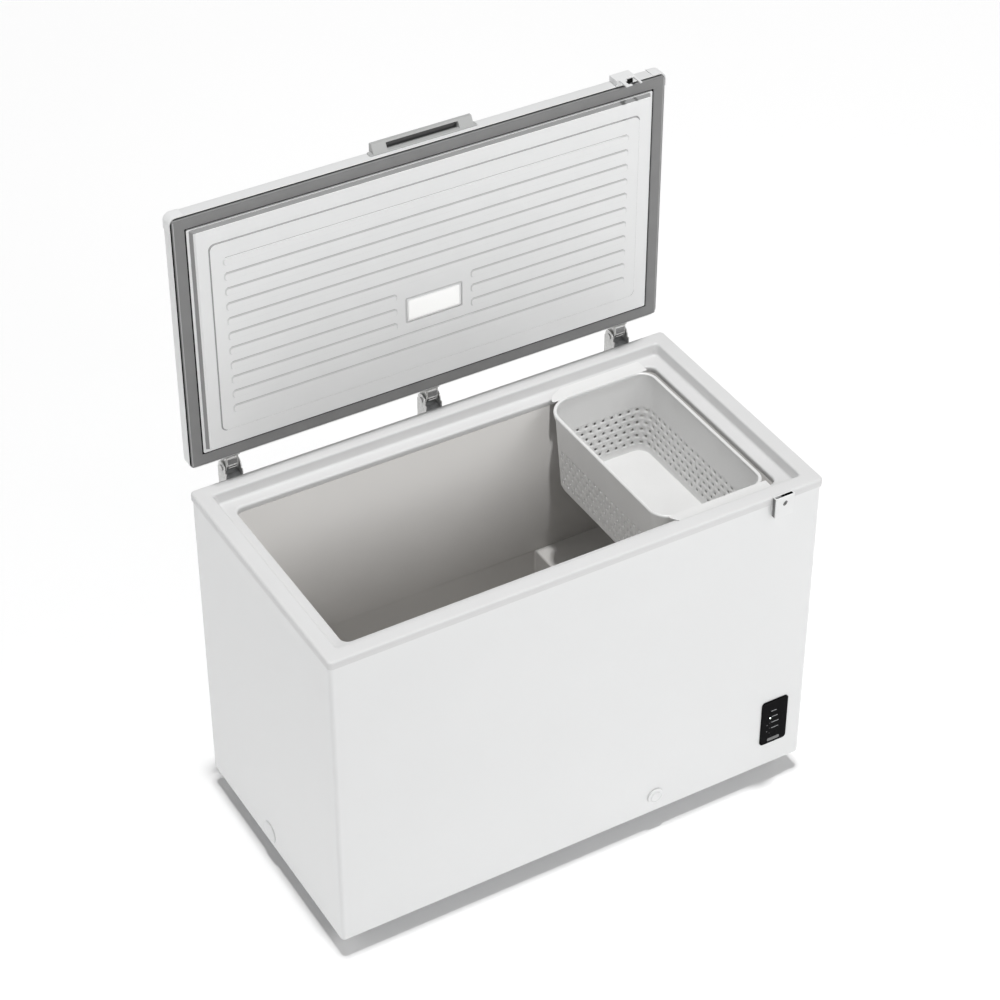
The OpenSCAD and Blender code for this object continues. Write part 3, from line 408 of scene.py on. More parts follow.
def build_tub():
    """Storage tub: upright walls, a raised floor over the compressor and round floor edges."""
    low, high = box_mm("liner_walls")
    sheet = 1.2
    half_x, half_y, top = high.x - sheet, high.y - sheet, high.z
    floor_z = low.z + sheet
    step_x, step_z, step_slope = 210, 370, 2
    edge, fillet, corner = 4.2, 18, 20.5
    edge_rows, fillet_rows = 4, 6
    loops = [rounded_loop(half_x, half_y, corner, z) for z in (top, step_z + step_slope)]

    def basin(right, inset, z):
        """Loop round the deep part, whose right side lies at right."""
        left = half_x - inset
        tight, wide = 6, max(corner - inset, 6)
        return rounded_loop((right + left) / 2, half_y - inset, (tight, tight, wide, wide), z,
                            ((right - left) / 2, 0))

    for k in range(edge_rows + 1):
        turn = math.pi / 2 * k / edge_rows
        right = step_x + edge * (1 - math.sin(turn))
        loops.append(basin(right, 0, step_z - edge * (1 - math.cos(turn))))
    for k in range(fillet_rows + 1):
        turn = math.pi / 2 * k / fillet_rows
        inset = fillet * (1 - math.cos(turn))
        loops.append(basin(step_x - inset, inset, floor_z + fillet * (1 - math.sin(turn))))
    shape = joined(loft(loops, caps=False), (loops[-1], [tuple(range(len(loops[-1])))]))
    piece("tub", shape, liner_look, "cabinet", ["liner_walls", "liner_floor"], thick=0.8)


def build_fascia():
    """Gloss panel with its printed marks and dots, and four indicator lamps, the top one lit."""
    low, high = box_mm("panel_fascia")
    x, z = (low.x + high.x) / 2, (low.z + high.z) / 2
    half_x, half_z, depth = (high.x - low.x) / 2, (high.z - low.z) / 2, high.y - low.y
    profile = rounded_path([(0, 0, 0), (0, depth - 0.05, 1.2), (3, depth, 0)])
    front = facing_front(x, z, high.y)
    piece("fascia", loft(framed(half_x, half_z, profile, lambda inset: 8 - inset)), panel_gloss,
          "cabinet", ["panel_fascia"], place=front)
    print_back, print_front = depth - 0.2, depth + 0.05
    first_mark, mark_pitch = 31, 16.2
    marks = ((-2.8, 14), (0.7, 15), (2.5, 19), (2.2, 19))
    for i, (middle, width) in enumerate(marks):
        mark_at = (middle, first_mark - mark_pitch * i)
        mark = [rounded_loop(width / 2, 0.7, 0.6, height, mark_at, 3)
                for height in (print_back, print_front)]
        piece(f"fascia_mark_{i}", loft(mark), print_look, "cabinet", place=front)
    dot_x, first_dot, dot_pitch = -17.7, -6, 18
    for i in range(2):
        dot = [rounded_loop(1.6, 1.6, 1.5, height, (dot_x, first_dot - dot_pitch * i), 4)
               for height in (print_back, print_front)]
        piece(f"fascia_dot_{i}", loft(dot), dim_print, "cabinet", place=front)
    low, high = box_mm("indicator_leds")
    radius, length = (high.x - low.x) / 2, high.y - low.y
    dome = [
        (radius, 0), (radius, length - 1.2), (radius + 0.4, length - 1.2),
        (radius + 0.4, length - 0.5), (radius * 0.85, length - 0.2),
        (radius * 0.5, length - 0.05), (0.2, length),
    ]
    sunk = 0.4
    lamp_count = 4
    for i in range(lamp_count):
        lamp_z = high.z - radius - i * (high.z - low.z - 2 * radius) / (lamp_count - 1)
        piece(f"led_{i}", loft(turned(dome)), led_off if i else led_look, "cabinet",
              () if i else ["indicator_leds"],
              place=facing_front((low.x + high.x) / 2, lamp_z, high.y - sunk))


def build_lock():
    """Lock housing with an open top slot, a block behind it, a dark sheet of painted shade on its left
    side and a near-black lining of painted shade in the slot."""
    low, high = box_mm("lock_housing")
    x = (low.x + high.x) / 2
    front, back, top = low.y, -300.2, high.z
    half_x, half_y = (high.x - low.x) / 2, (back - front) / 2
    centre = (x, (front + back) / 2)
    slot_x, slot_y, slot_depth = 20.5, half_y - 2.2, 32
    loops = [
        rounded_loop(half_x, half_y, 1.5, low.z, centre, 4),
        rounded_loop(half_x, half_y, 1.5, top, centre, 4),
        rounded_loop(slot_x, slot_y, 0.8, top, centre, 4),
        rounded_loop(slot_x, slot_y, 0.8, top - slot_depth, centre, 4),
    ]
    block_top = 771.5
    filler = block((x - half_x + 1, back - 1, low.z + 1), (x + half_x - 1, high.y, block_top))
    piece("lock_case", loft(loops), white_plastic, "cabinet", ["lock_housing"], bevel=0.7)
    piece("lock_case_back", filler, white_plastic, "cabinet", bevel=0.4)
    # Painted shade: a dark sheet on the left side stands in for the shade inside an open side.
    side_shade_block = block((x - half_x - 0.25, front + 2.2, low.z + 1.5),
                   (x - half_x + 0.8, back - 0.6, top - 2.5))
    piece("lock_side_shade", side_shade_block, button_grey_and_shade_look, "cabinet", bevel=0.2)
    # Painted shade: a near-black lining in the right part of the slot.
    middle = (x + 8.2, centre[1])
    skin, slot_shade_top, slot_shade_end = 0.05, top - 0.8, top - 7.5
    slot_shade_loops = [rounded_loop(12.2 - k, slot_y - 0.03 - k, 0.7, height, middle, 4) for k, height in (
        (0, slot_shade_top), (0, slot_shade_end), (skin, slot_shade_end), (skin, slot_shade_top))]
    piece("lock_slot_shade", loft(slot_shade_loops, closed=True), painted_shade_black, "cabinet")


def build_keyhole():
    """Keyhole as a dark plate of painted shade, in a raised ring on the key cylinder's face."""
    low, high = box_mm("lock_cylinder")
    x, z, radius = (low.x + high.x) / 2, (low.z + high.z) / 2, (high.x - low.x) / 2 - 1
    sunk = 0.35
    front = facing_front(x, z, low.y + sunk)
    ring = rounded_path([(radius - 0.1, 0, 0), (radius - 0.1, 0.4, 0.1), (radius - 1.0, 0.55, 0.2),
                         (radius - 1.1, 0, 0)])
    piece("key_ring", loft(turned(ring), closed=True), plated, "lock", place=front)
    tilt = math.radians(50)

    def slanted(p):
        """Turns a point about the cylinder's axis before it is placed."""
        a, b, c = p
        return front((a * math.cos(tilt) - b * math.sin(tilt),
                      a * math.sin(tilt) + b * math.cos(tilt), c))

    # Painted shade: a flat dark plate stands in for the keyhole's opening.
    hole = [rounded_loop(6.0 - k, 3.7 - k, 3.6 - k, depth, steps=6)
            for k, depth in ((0, 0), (0, 0.42), (0.3, 0.5))]
    piece("keyhole", loft(hole), painted_shade_grey, "lock", place=slanted)


def build_hinge_details():
    """Spring housing in each hinge bracket; on each leaf a plate whose bright edge round the raised
    face is a painted highlight, and three strips: painted highlight, painted shade, painted highlight.
    """
    low, high = box_mm("hinge_brackets")
    wall = box_mm("top_collar")[1].y + 2.5
    back, foot, nose = high.y - 2.8, HINGE_Z - 62, HINGE_Z - 15.5
    side = rounded_path([
        (wall, foot, 1), (back, foot, 1), (back, HINGE_Z - 19, 3),
        (HINGE_Y + 8, nose, 4), (HINGE_Y - 6, nose, 4), (wall, HINGE_Z - 21, 3),
    ], closed=True)
    leaves = shut_box("hinge_leaves")[0]
    bracket_half, end_gap = 19, 16
    half = bracket_half - 2.7
    middles = (("left", low.x + end_gap + bracket_half), ("middle", 0),
               ("right", high.x - end_gap - bracket_half))
    for name, x in middles:
        piece(f"hinge_housing_{name}", extruded(side, x - half, x + half), galvanised, "cabinet",
              bevel=1.2, place=lambda p: (p[2], p[0], p[1]))
        # The plate's bright rim round the face is a painted highlight on the leaf's edges.
        plate = [rounded_loop(12.4 - k, 8.4 - k, 3, HINGE_Z - drop, (x, leaves.y + 11), 5)
                 for k, drop in ((0, 11.6), (0, 12.4), (0.5, 12.7))]
        piece(f"hinge_plate_{name}", loft(plate), zinc_highlight, "lid", place=raised)
        face = [rounded_loop(10.8 - k, 6.6 - k, 2, HINGE_Z - drop, (x + 0.9, leaves.y + 11.4), 5)
                for k, drop in ((0, 12.5), (0, 13.0), (0.4, 13.3))]
        piece(f"hinge_face_{name}", loft(face), spring_steel, "lid", place=raised)
        # Three flat strips stand in for a rolled barrel: painted highlight, painted shade, painted
        # highlight.
        for k, look in enumerate((zinc_highlight, painted_shade_black, zinc_highlight)):
            strip_at = (x, leaves.y + 20.6 + 2.3 * k)
            strip = [rounded_loop(9 - inset, 1.1, 0.6, HINGE_Z - drop, strip_at, 4)
                     for inset, drop in ((0, 11), (0, 13), (0.3, 13.3))]
            piece(f"hinge_strip_{name}_{k}", loft(strip), look, "lid", place=raised)


def build_caps():
    """Front drain cap and the round cap on the left wall."""
    low, high = box_mm("front_drain_cap")
    x, z, radius = (low.x + high.x) / 2, (low.z + high.z) / 2, (high.x - low.x) / 2
    stem, depth = 7.9, high.y - low.y
    face = depth - 0.2
    groove = face - 1.4
    profile = rounded_path([
        (stem, 0, 0), (stem, depth - 5.2, 0.5), (radius, depth - 5.1, 0.6), (radius, face - 1.2, 1.5),
        (radius - 4, face, 1), (radius - 6, face, 0.8), (radius - 6.8, groove, 0.8),
        (11.5, groove, 0.8), (11, face, 1), (3, face, 0),
    ])
    piece("drain_cap", loft(turned(profile)), white_plastic, "drain_cap", ["front_drain_cap"],
          place=facing_front(x, z, high.y))
    low, high = box_mm("side_cap")
    y, z, radius = (low.y + high.y) / 2, (low.z + high.z) / 2, (high.y - low.y) / 2
    depth = high.x - low.x
    stem = radius - 5.4
    profile = rounded_path([
        (stem, 0, 0), (stem, depth - 3.2, 0.5), (radius, depth - 3.1, 0.8),
        (radius - 1, depth - 1, 2), (radius - 4, depth, 1), (3, depth, 0),
    ])
    piece("left_cap", loft(turned(profile)), white_plastic, "cabinet", ["side_cap"],
          place=facing_left(y, z, high.x))


def build_wheels():
    """Castor wheels with a crowned tread and dished hubs."""
    bore, hub, dish_edge = 2.6, 5, 5.6
    for corner in CORNERS:
        low, high = box_mm(f"castor_wheel_{corner}")
        centre = (low + high) / 2
        radius, half = (high.z - low.z) / 2, (high.x - low.x) / 2
        one_side = [
            (bore, half - 1, 0), (hub, half - 1, 0.8), (dish_edge, half - 3, 0.8),
            (radius - 5.5, half - 3, 1), (radius - 5, half - 0.2, 1), (radius - 2.2, half, 1.5),
            (radius - 0.05, half - 3, 2.5),
        ]
        other_side = [(r, -height, rounding) for r, height, rounding in one_side]
        profile = rounded_path([*other_side, (radius, 0, 6), *reversed(one_side)])
        piece(f"wheel_{corner}", loft(turned(profile), closed=True), wheel_look, f"wheel_{corner}",
              [f"castor_wheel_{corner}"], place=along_x(*centre))


# ---------- lid ----------

def area_loop(area, radius, z):
    """Loop round an area (half width, front, rear) with round corners, at height z."""
    half_x, front, rear = area
    return rounded_loop(half_x, (rear - front) / 2, radius, z, (0, (front + rear) / 2))


def grown(area, out):
    """An area (half width, front, rear) whose edges all move outwards."""
    half_x, front, rear = area
    return (half_x + out, front - out, rear + out)


def build_lid_shell():
    """Folded steel tray of the lid and the plastic caps on its front corners."""
    low, high = shut_box("lid_panel")
    half_x, half_y, top, bottom = high.x, high.y, high.z, low.z
    flat, sheet, rim_width, fold = top - 0.4, 1.2, 30, 14
    outside = rounded_path([(sheet, bottom, 0), (0, bottom, 0.3), (0, flat, 6), (rim_width, flat, 0)],
                           steps=6)
    inside = rounded_path([(rim_width, flat - sheet, 0), (sheet, flat - sheet, 5), (sheet, bottom, 0)],
                          steps=6)

    def corner(inset):
        """Corner radius of the tray at an inset."""
        return max(fold - inset, 3)

    loops = framed(half_x, half_y, outside, corner)
    back = framed(half_x, half_y, inside, corner)
    shape = joined(loft(loops, caps=False), (loops[-1], [tuple(range(len(loops[-1])))]),
                   loft(back, caps=False), (back[0], [tuple(range(len(back[0])))]))
    piece("lid_shell", shape, lid_paint, "lid", ["lid_panel"], place=raised)
    length, proud = 30, 1.9
    profile = rounded_path([
        (0.1, bottom - 0.3, 0), (-proud, bottom - 0.3, 0.6), (-proud, top, 7),
        (12, top, 0.5), (12, top - 1, 0), (1, top - 1.6, 5), (0.6, bottom, 0),
    ], closed=True, steps=5)
    arc_steps = 8
    for side, name in ((-1, "left"), (1, "right")):
        rows = []
        for inset, z in profile:
            r = max(fold - inset, 1.0)
            x, y = half_x - inset, -(half_y - inset)
            arc = [(x - r + r * math.sin(a), y + r - r * math.cos(a))
                   for a in (math.pi / 2 * i / arc_steps for i in range(arc_steps + 1))]
            line = [(half_x - length, y), *arc, (x, -half_y + length)]
            rows.append([(side * a, b, z) for a, b in line])
        rows = [list(column) for column in zip(*rows)]
        piece(f"lid_cap_{name}", loft(rows), white_plastic, "lid",
              ["lid_corner_caps"] if side < 0 else (), place=raised)


# Places that the pieces of the lid's lining share, as if the lid were shut. An area is
# (half width, front, rear).
LINER_HIGH = shut_box("lid_liner")[1]
SEAL_LOW, SEAL_HIGH = shut_box("lid_gasket")
LENS_LOW, LENS_HIGH = shut_box("lamp_lens")
FLANGE_Z = LINER_HIGH.z - 2
LIP_X, LIP_Y, LIP_Z = SEAL_HIGH.x - 27.5, SEAL_HIGH.y - 27.5, SEAL_LOW.z + 0.2
PANEL_Z = LENS_LOW.z + 1.2
BORDER_Z = PANEL_Z + 2.0
LIP_AREA = (LIP_X, -LIP_Y, LIP_Y)
WALL_FOOT = (LIP_X - 5.5, -LIP_Y + 2.9, LIP_Y - 7.5)
WALL_EDGE = (LIP_X - 12.5, -LIP_Y + 4.2, LIP_Y - 14.2)
PANEL_AREA = (478, -221, 211)
LAMP_AT = (0, (LENS_LOW.y + LENS_HIGH.y) / 2)


def bead(x0, x1, y, z, width, height):
    """Flanks and crown of a bead that stands down from z, as two meshes. The front flank is wider."""
    flank, corner, rows = 2.2, 6, 5
    loops = []
    for k in range(rows + 1):
        t = k / rows
        inset = flank * t
        rise = t * t * (3 - 2 * t)
        loops.append(rounded_loop((x1 - x0) / 2 - inset, width / 2 - inset, corner - inset / 2,
                                  z - height * rise + 0.03, ((x0 + x1) / 2, y + 0.7 * t), 6))
    crown = [loops[-1], [(a, b, c + 0.5) for a, b, c in loops[-1]]]
    back = [(a, b, c + 0.3) for a, b, c in loops[0]]
    return loft([back, *loops]), loft([crown[1], [(a, b, c - 0.06) for a, b, c in crown[0]]])


def build_lid_lining():
    """Inner moulding of the lid: flange, lip, and a plug with a raised panel that the lamp opens."""
    inner_x, inner_y = 510, 252
    flange = loft([
        rounded_loop(LINER_HIGH.x, LINER_HIGH.y, 12, FLANGE_Z),
        rounded_loop(LINER_HIGH.x, LINER_HIGH.y, 12, FLANGE_Z + 2),
        rounded_loop(inner_x, inner_y, 3, FLANGE_Z + 2),
        rounded_loop(inner_x, inner_y, 3, FLANGE_Z),
    ], closed=True)
    piece("lid_flange", flange, white_plastic, "lid", place=raised)
    loops = [
        area_loop(LIP_AREA, 3, FLANGE_Z + 0.5), area_loop(LIP_AREA, 3, LIP_Z),
        area_loop(WALL_FOOT, 3, LIP_Z), area_loop(WALL_EDGE, 3, BORDER_Z),
        area_loop(grown(PANEL_AREA, 2), 14, BORDER_Z), area_loop(PANEL_AREA, 13, PANEL_Z),
    ]
    opening = [rounded_loop(half_x, half_y, 3, PANEL_Z + depth, LAMP_AT)
               for half_x, half_y, depth in ((64, 28.6, 0), (63.6, 28.2, 0.6), (63.6, 28.2, 5))]
    piece("lid_lining", loft([*loops, *opening], caps=False), lining_look, "lid", ["lid_liner"],
          bevel=0.9, place=raised)


def build_lid_beads():
    """Stiffening beads across the panel, flanks and a thin line along each in painted shade; the lamp
    interrupts some.
    """
    bead_end, lamp_clear, lamp_reach = 453, 84, 40
    first_y, pitch, count = -178, 34.3, 11
    width, height = 18, 1.9
    flanks, crowns, bead_shades = [], [], []
    for i in range(count):
        y = first_y + i * pitch
        spans = [(-bead_end, bead_end)]
        if abs(y - LAMP_AT[1]) <= lamp_reach:
            spans = [(-bead_end, -lamp_clear), (lamp_clear, bead_end)]
        for x0, x1 in spans:
            flank, crown = bead(x0, x1, y, PANEL_Z, width, height)
            flanks.append(flank)
            crowns.append(crown)
            # Painted shade: a thin dark line along the upper foot of the bead.
            shade_line_at = ((x0 + x1) / 2, y - width / 2)
            bead_shades.append(loft([rounded_loop((x1 - x0) / 2 - 5, 0.55, 0.5, PANEL_Z + rise, shade_line_at, 3)
                               for rise in (-0.12, 0.4)]))
    # The flanks take the darker plastic as painted shade.
    piece("lid_bead_flanks", joined(*flanks), shaded_flank_look, "lid", place=raised)
    piece("lid_bead_crowns", joined(*crowns), lining_look, "lid", place=raised)
    piece("lid_bead_shade_lines", joined(*bead_shades), bead_line_shade_look, "lid", place=raised)


def build_plug_edges():
    """Dark line of painted shade round the raised panel, and a grey skin of painted shade on the plug's
    sloping wall.
    """
    # Painted shade: a dark outline round the panel, set off by shift like a shadow.
    panel_outline_loops = [area_loop(grown(PANEL_AREA, out), 13, z) for out, z in (
        (2.1, BORDER_Z - 0.15), (-0.1, PANEL_Z - 0.15), (-0.1, PANEL_Z + 0.5), (2.1, BORDER_Z + 0.5))]
    shift = 0.3
    piece("panel_outline_shade", loft(panel_outline_loops, closed=True), outline_shade_look, "lid",
          place=lambda p: raised((p[0] - shift, p[1] - shift, p[2])))
    # Painted shade: a grey skin over the plug's sloping wall.
    skin, foot_z, edge_z = 0.35, LIP_Z - 0.4, BORDER_Z + 1.2
    wall = [
        area_loop(grown(WALL_FOOT, skin), 3, foot_z), area_loop(grown(WALL_EDGE, skin), 3, edge_z),
        area_loop(grown(WALL_EDGE, -1), 2, edge_z), area_loop(grown(WALL_FOOT, -1), 2, foot_z),
    ]
    piece("plug_wall_shade", loft(wall, closed=True), wall_shade_look, "lid", place=raised)


def build_lid_lamp():
    """Lit cover of the lid's lamp, with a white edge and a rim round it in the darker flank plastic as
    painted shade.
    """
    back_z = PANEL_Z + 4.5
    cover = rounded_path([(0, back_z, 0), (0.4, PANEL_Z - 1.1, 1.5), (10, PANEL_Z - 1.4, 0)])
    piece("lamp_cover", loft(framed(58.4, 23, cover, lambda inset: 3, LAMP_AT)), lamp_look,
          "lid", ["lamp_lens"], place=raised)
    edge = rounded_path([
        (0, back_z, 0), (0.4, PANEL_Z - 0.2, 1.5), (4.1, PANEL_Z - 1.0, 0.3), (4.1, back_z, 0)])
    piece("lamp_edge", loft(framed(62.4, 27, edge, lambda inset: 3, LAMP_AT), closed=True),
          lining_look, "lid", place=raised)
    # Painted shade: the rim takes the darker flank plastic.
    rim_back, rim_face = PANEL_Z + 1, PANEL_Z - 0.9
    rim = rounded_path([(0, rim_back, 0), (0, rim_face, 0.5), (2, rim_face, 0.5), (2, rim_back, 0)],
                       closed=True)
    piece("lamp_rim", loft(framed(65.5, 30.1, rim, lambda inset: 4, LAMP_AT), closed=True),
          shaded_flank_look, "lid", place=raised)


def build_lid_core():
    """Foam that fills the lid, with a recess behind the lamp and a rounded back."""
    low, high = shut_box("lid_foam")
    plug, face, shelf = grown(WALL_EDGE, -3), low.z + 0.8, LINER_HIGH.z + 0.2
    recess_x, recess_y, recess_depth = 66, 31.5, 20
    core = [
        rounded_loop(recess_x, recess_y, 2, low.z + recess_depth, LAMP_AT),
        rounded_loop(recess_x, recess_y, 2, face, LAMP_AT),
        area_loop(plug, 3, face), area_loop(plug, 3, shelf),
    ]
    core += [rounded_loop(high.x - inset, high.y - inset, 12, z) for inset, z in (
        (0.6, shelf), (0.6, high.z - 7), (1.6, high.z - 4), (3.6, high.z - 1.8), (7, high.z - 0.6))]
    piece("lid_core", loft(core), foam_look, "lid", ["lid_foam"], place=raised)


def build_gasket():
    """Magnetic seal with tight corners and a groove near its outer edge, near-black channels of painted
    shade in the gaps inside and outside of it, and a lighter rib along both ends as a painted
    highlight."""
    half_x, half_y, face, root = SEAL_HIGH.x, SEAL_HIGH.y, SEAL_LOW.z, SEAL_HIGH.z
    profile = rounded_path([
        (2, root, 0), (0.2, face + 4, 1.5), (0.3, face + 0.6, 0.8), (1.6, face + 0.1, 0.5),
        (2.2, face + 0.7, 0.4), (2.8, face + 0.1, 0.4), (12.5, face, 6), (23.6, face + 0.1, 0.8),
        (24.9, face + 1.4, 1), (24.4, face + 4.5, 1), (22, root, 0),
    ], closed=True, steps=3)
    loops = framed(half_x, half_y, profile, lambda inset: max(3.5 - inset / 7, 1))
    piece("seal", loft(loops, closed=True), gasket_look, "lid", ["lid_gasket"], place=raised)
    # Painted shade: near-black channels fill the gaps beside the seal.
    gap_top = FLANGE_Z - 0.2
    for name, outer, inner, drop, shift, corner in (("inner_gap_shade", 22.6, 27.4, 9.0, -1.4, 3),
                                                    ("outer_gap_shade", -2.7, 0.8, 3.4, 0, 10)):
        bottom = FLANGE_Z - drop
        channel = [(outer, gap_top), (outer, bottom), (inner, bottom), (inner, gap_top)]
        loops = framed(half_x, half_y, channel, lambda inset: corner, (0, shift))
        piece(f"seal_{name}", loft(loops, closed=True), painted_shade_black, "lid", place=raised)
    # Painted highlight: a thin lighter rib along each end of the seal.
    rib_root, rib_face, rib_clear = face + 1, face - 0.2, 4
    for side, name in ((-1, "left"), (1, "right")):
        outline = rounded_path([(side * (half_x - out), z, r) for out, z, r in (
            (1.0, rib_root, 0), (1.3, rib_face, 0.4), (2.9, rib_face, 0.4), (3.2, rib_root, 0))],
            closed=True)
        rib = extruded(outline, -half_y + rib_clear, half_y - rib_clear)
        piece(f"seal_rib_{name}", rib, lip_highlight_look, "lid", place=lambda p: raised((p[0], p[2], p[1])))


def build_handle():
    """Wedge-shaped grip with a scooped finger slot in its underside and a dark pocket of painted shade
    in the slot, on a thin foot."""
    low, high = shut_box("lid_handle")
    foot_half, foot_t = high.x, 2
    half, back, front, top = high.x - 8, high.y, low.y, high.z
    lip_z = top - 9

    def loop(half_x, y0, y1, z, radius=0.6):
        """Loop of the grip from y0 to y1; z is a height, or None on the sloping underside."""
        flat = rounded_loop(half_x, (y1 - y0) / 2, radius, 0, (0, (y0 + y1) / 2), 3)
        slope = (lip_z - low.z) / (back - front)
        return [(x, y, lip_z - (y - front) * slope if z is None else z) for x, y, _ in flat]

    slot = 80
    slot_back = back - 3
    loops = [
        loop(half, front + 2, back, top), loop(half, front, back, top - 2),
        loop(half, front, back, None), loop(slot, front + 3.6, slot_back, None, 1.5),
        loop(slot - 1, front + 4.6, slot_back, lip_z, 2),
        loop(slot - 3, front + 7, slot_back, top - 3, 2),
    ]
    piece("grip", loft(loops), grey_plastic, "lid", ["lid_handle"], bevel=1.1, place=raised)
    # Painted shade: a dark pocket darkens the inside of the slot.
    pocket_shade_loops = [loop(slot - 2.5 - k, front + 6.6 + k, back - 3.2 - k, top - drop, 2)
              for k, drop in ((0, 4), (0, 9), (1.2, 9), (1.2, 5.2))]
    piece("grip_pocket_shade", loft(pocket_shade_loops), painted_shade_grey, "lid", place=raised)
    foot = [rounded_loop(foot_half - k, 8.5 - k, 3, -depth, (0, top - 12.5), 4)
            for k, depth in ((0, 0), (0, foot_t - 0.8), (0.8, foot_t))]
    piece("grip_foot", loft(foot), grey_plastic, "lid",
          place=lambda p: raised((p[0], back + p[2], p[1])))


def build_hasp():
    """Hasp head with two tines, the left one notched for the locking bar, and a dark block of painted
    shade under it.
    """
    low, high = shut_box("lid_hasp")
    head_low = low.z + 26
    centre = ((low.x + high.x) / 2, (low.y + high.y) / 2)
    head = loft([rounded_loop((high.x - low.x) / 2, (high.y - low.y) / 2, 1.5, z, centre, 3)
                 for z in (head_low + 1, high.z)])
    piece("hasp_head", head, white_plastic, "lid", ["lid_hasp"], bevel=1.0, place=raised)
    x, tine_y, z = (value / MM for value in JOINTS["lock_turn"]["pos_m"])
    half, root = 1.5, head_low + 2
    outer, inner, notch = x - 19.5, x - 5, x - 11
    left = [(outer, low.z), (inner, low.z), (inner, z - 4.5), (notch, z - 4.5), (notch, z + 11),
            (inner, z + 11), (inner, root), (outer, root)]
    right = [(x + 13, low.z), (x + 18, low.z), (x + 18, root), (x + 13, root)]
    for name, outline in (("left", left), ("right", right)):
        piece(f"hasp_tine_{name}", extruded(outline, tine_y - half, tine_y + half), white_plastic,
              "lid", bevel=0.4, place=lambda p: raised((p[0], p[2], p[1])))
    # Painted shade: a dark block under the head darkens the gap between the tines.
    under_head_shade = block((x - 4, tine_y + half + 0.3, head_low - 0.4), (x + 12, high.y - 0.4, head_low + 1.4))
    piece("hasp_shade", under_head_shade, painted_shade_black, "lid", bevel=0.2, place=raised)


# ---------- basket ----------

def outline_points(half_x, half_y, radii, centre, count):
    """count points at equal steps round a rounded rectangle, as (x, y)."""
    fine = 24
    loop = [Vector(p[:2]) for p in rounded_loop(half_x, half_y, radii, 0, centre, fine)]
    loop.append(loop[0])
    reach = [0.0]
    for a, b in zip(loop, loop[1:]):
        reach.append(reach[-1] + (b - a).length)
    points, k = [], 0
    for i in range(count):
        target = reach[-1] * i / count
        while reach[k + 1] < target:
            k += 1
        t = (target - reach[k]) / max(reach[k + 1] - reach[k], 1e-9)
        points.append(loop[k].lerp(loop[k + 1], t))
    return points


def holed_cells(columns, rows, hole_x, hole_y, where):
    """Faces of a grid of cells, each with a rounded hole of hole_x by hole_y of the cell. Every
    other row is shifted by half a cell. where gives the place of a point of the grid."""
    verts, faces = [], []
    squareness = 2.6
    border = ([(i / 4, 0) for i in range(4)] + [(1, i / 4) for i in range(4)]
              + [(1 - i / 4, 1) for i in range(4)] + [(0, 1 - i / 4) for i in range(4)])
    count = len(border)
    for row in range(rows):
        shift = 0.5 * (row % 2)
        for column in range(columns):
            base = len(verts)
            for u, v in border:
                verts.append(where(column + u + shift, row + v))
            for u, v in border:
                a, b = 2 * u - 1, 2 * v - 1
                reach = (abs(a) ** squareness + abs(b) ** squareness) ** (1 / squareness)
                verts.append(where(column + 0.5 + shift + a / reach * hole_x / 2,
                                   row + 0.5 + b / reach * hole_y / 2))
            for i in range(count):
                k = (i + 1) % count
                faces.append((base + i, base + k, base + count + k, base + count + i))
    return verts, faces


def build_basket():
    """Moulded basket: rolled rim, solid upper wall, slotted lower wall, plain floor, and a flange
    in front and at the rear that rests on the ledge."""
    low, high = box_mm("basket")
    centre = ((low.x + high.x) / 2, 0)
    half_x, half_y = (high.x - low.x) / 2 - 3, 223
    top, bottom = high.z - 2, low.z + 1.5
    radii = (34, 34, 56, 42)
    floor_radii = (30, 30, 46, 36)
    columns, rows, points_per_column = 60, 6, 4
    taper_x, taper_y = 12, 16
    holes_start, holes_end = 0.42, 0.93
    count = columns * points_per_column
    upper = outline_points(half_x, half_y, radii, centre, count)
    lower = outline_points(half_x - taper_x, half_y - taper_y, floor_radii, centre, count)

    def wall(u, depth):
        """A point of the wall: u columns round, depth from 0 at the rim to 1 at the floor."""
        i = round(u * points_per_column)
        t = u * points_per_column - i
        after = (i + (1 if t > 0 else -1)) % count
        a = upper[i % count].lerp(upper[after], abs(t))
        b = lower[i % count].lerp(lower[after], abs(t))
        p = a.lerp(b, depth)
        return (p.x, p.y, top + (bottom - top) * depth)

    def band(depths):
        """Loops of the wall at some depths."""
        return [[wall(i / points_per_column, depth) for i in range(count)] for depth in depths]

    slots = holed_cells(columns, rows, 0.31, 0.36,
                        lambda u, v: wall(u, holes_start + (holes_end - holes_start) * v / rows))
    plain = band((0.0, 0.05, holes_start / 2, holes_start))
    foot = band((holes_end, 0.97))
    floor_loop = [(p.x * 0.985 + centre[0] * 0.015, p.y * 0.985, bottom) for p in lower]
    inner_loop = [(p.x * 0.94 + centre[0] * 0.06, p.y * 0.97, bottom) for p in lower]
    shape = joined(slots, loft(plain, caps=False), loft([*foot, floor_loop, inner_loop], caps=False),
                   (inner_loop, [tuple(range(count))]))
    piece("basket_wall", shape, basket_look, "basket", ["basket"], thick=2.2)
    rim = rounded_path([
        (2.2, top - 9, 0.8), (-3.2, top - 11, 1), (-5.0, top - 1, 4), (-1, top + 2, 3.5),
        (3.4, top - 0.5, 2.5), (2.2, top - 2.5, 0.5), (-1, top - 2, 1.5),
    ], closed=True)
    loops = [rounded_loop(half_x - inset, half_y - inset, tuple(r - inset for r in radii), z,
                          centre, 10) for inset, z in rim]
    piece("basket_rim", loft(loops, closed=True), basket_look, "basket")
    left, right, ledge, flange = low.x + 16, high.x - 4, high.y - 3, 2.2
    for name, side in (("front", -1), ("rear", 1)):
        outline = rounded_path([
            (left, side * (half_y - 2), 6), (left + 16, side * (ledge - 14), 18),
            (left + 44, side * ledge, 22), (right, side * ledge, 8), (right, side * (half_y - 2), 2),
        ], closed=True, steps=6)
        piece(f"basket_flange_{name}", extruded(outline, high.z - flange, high.z),
              basket_look, "basket", bevel=0.8)


# ---------- room ----------

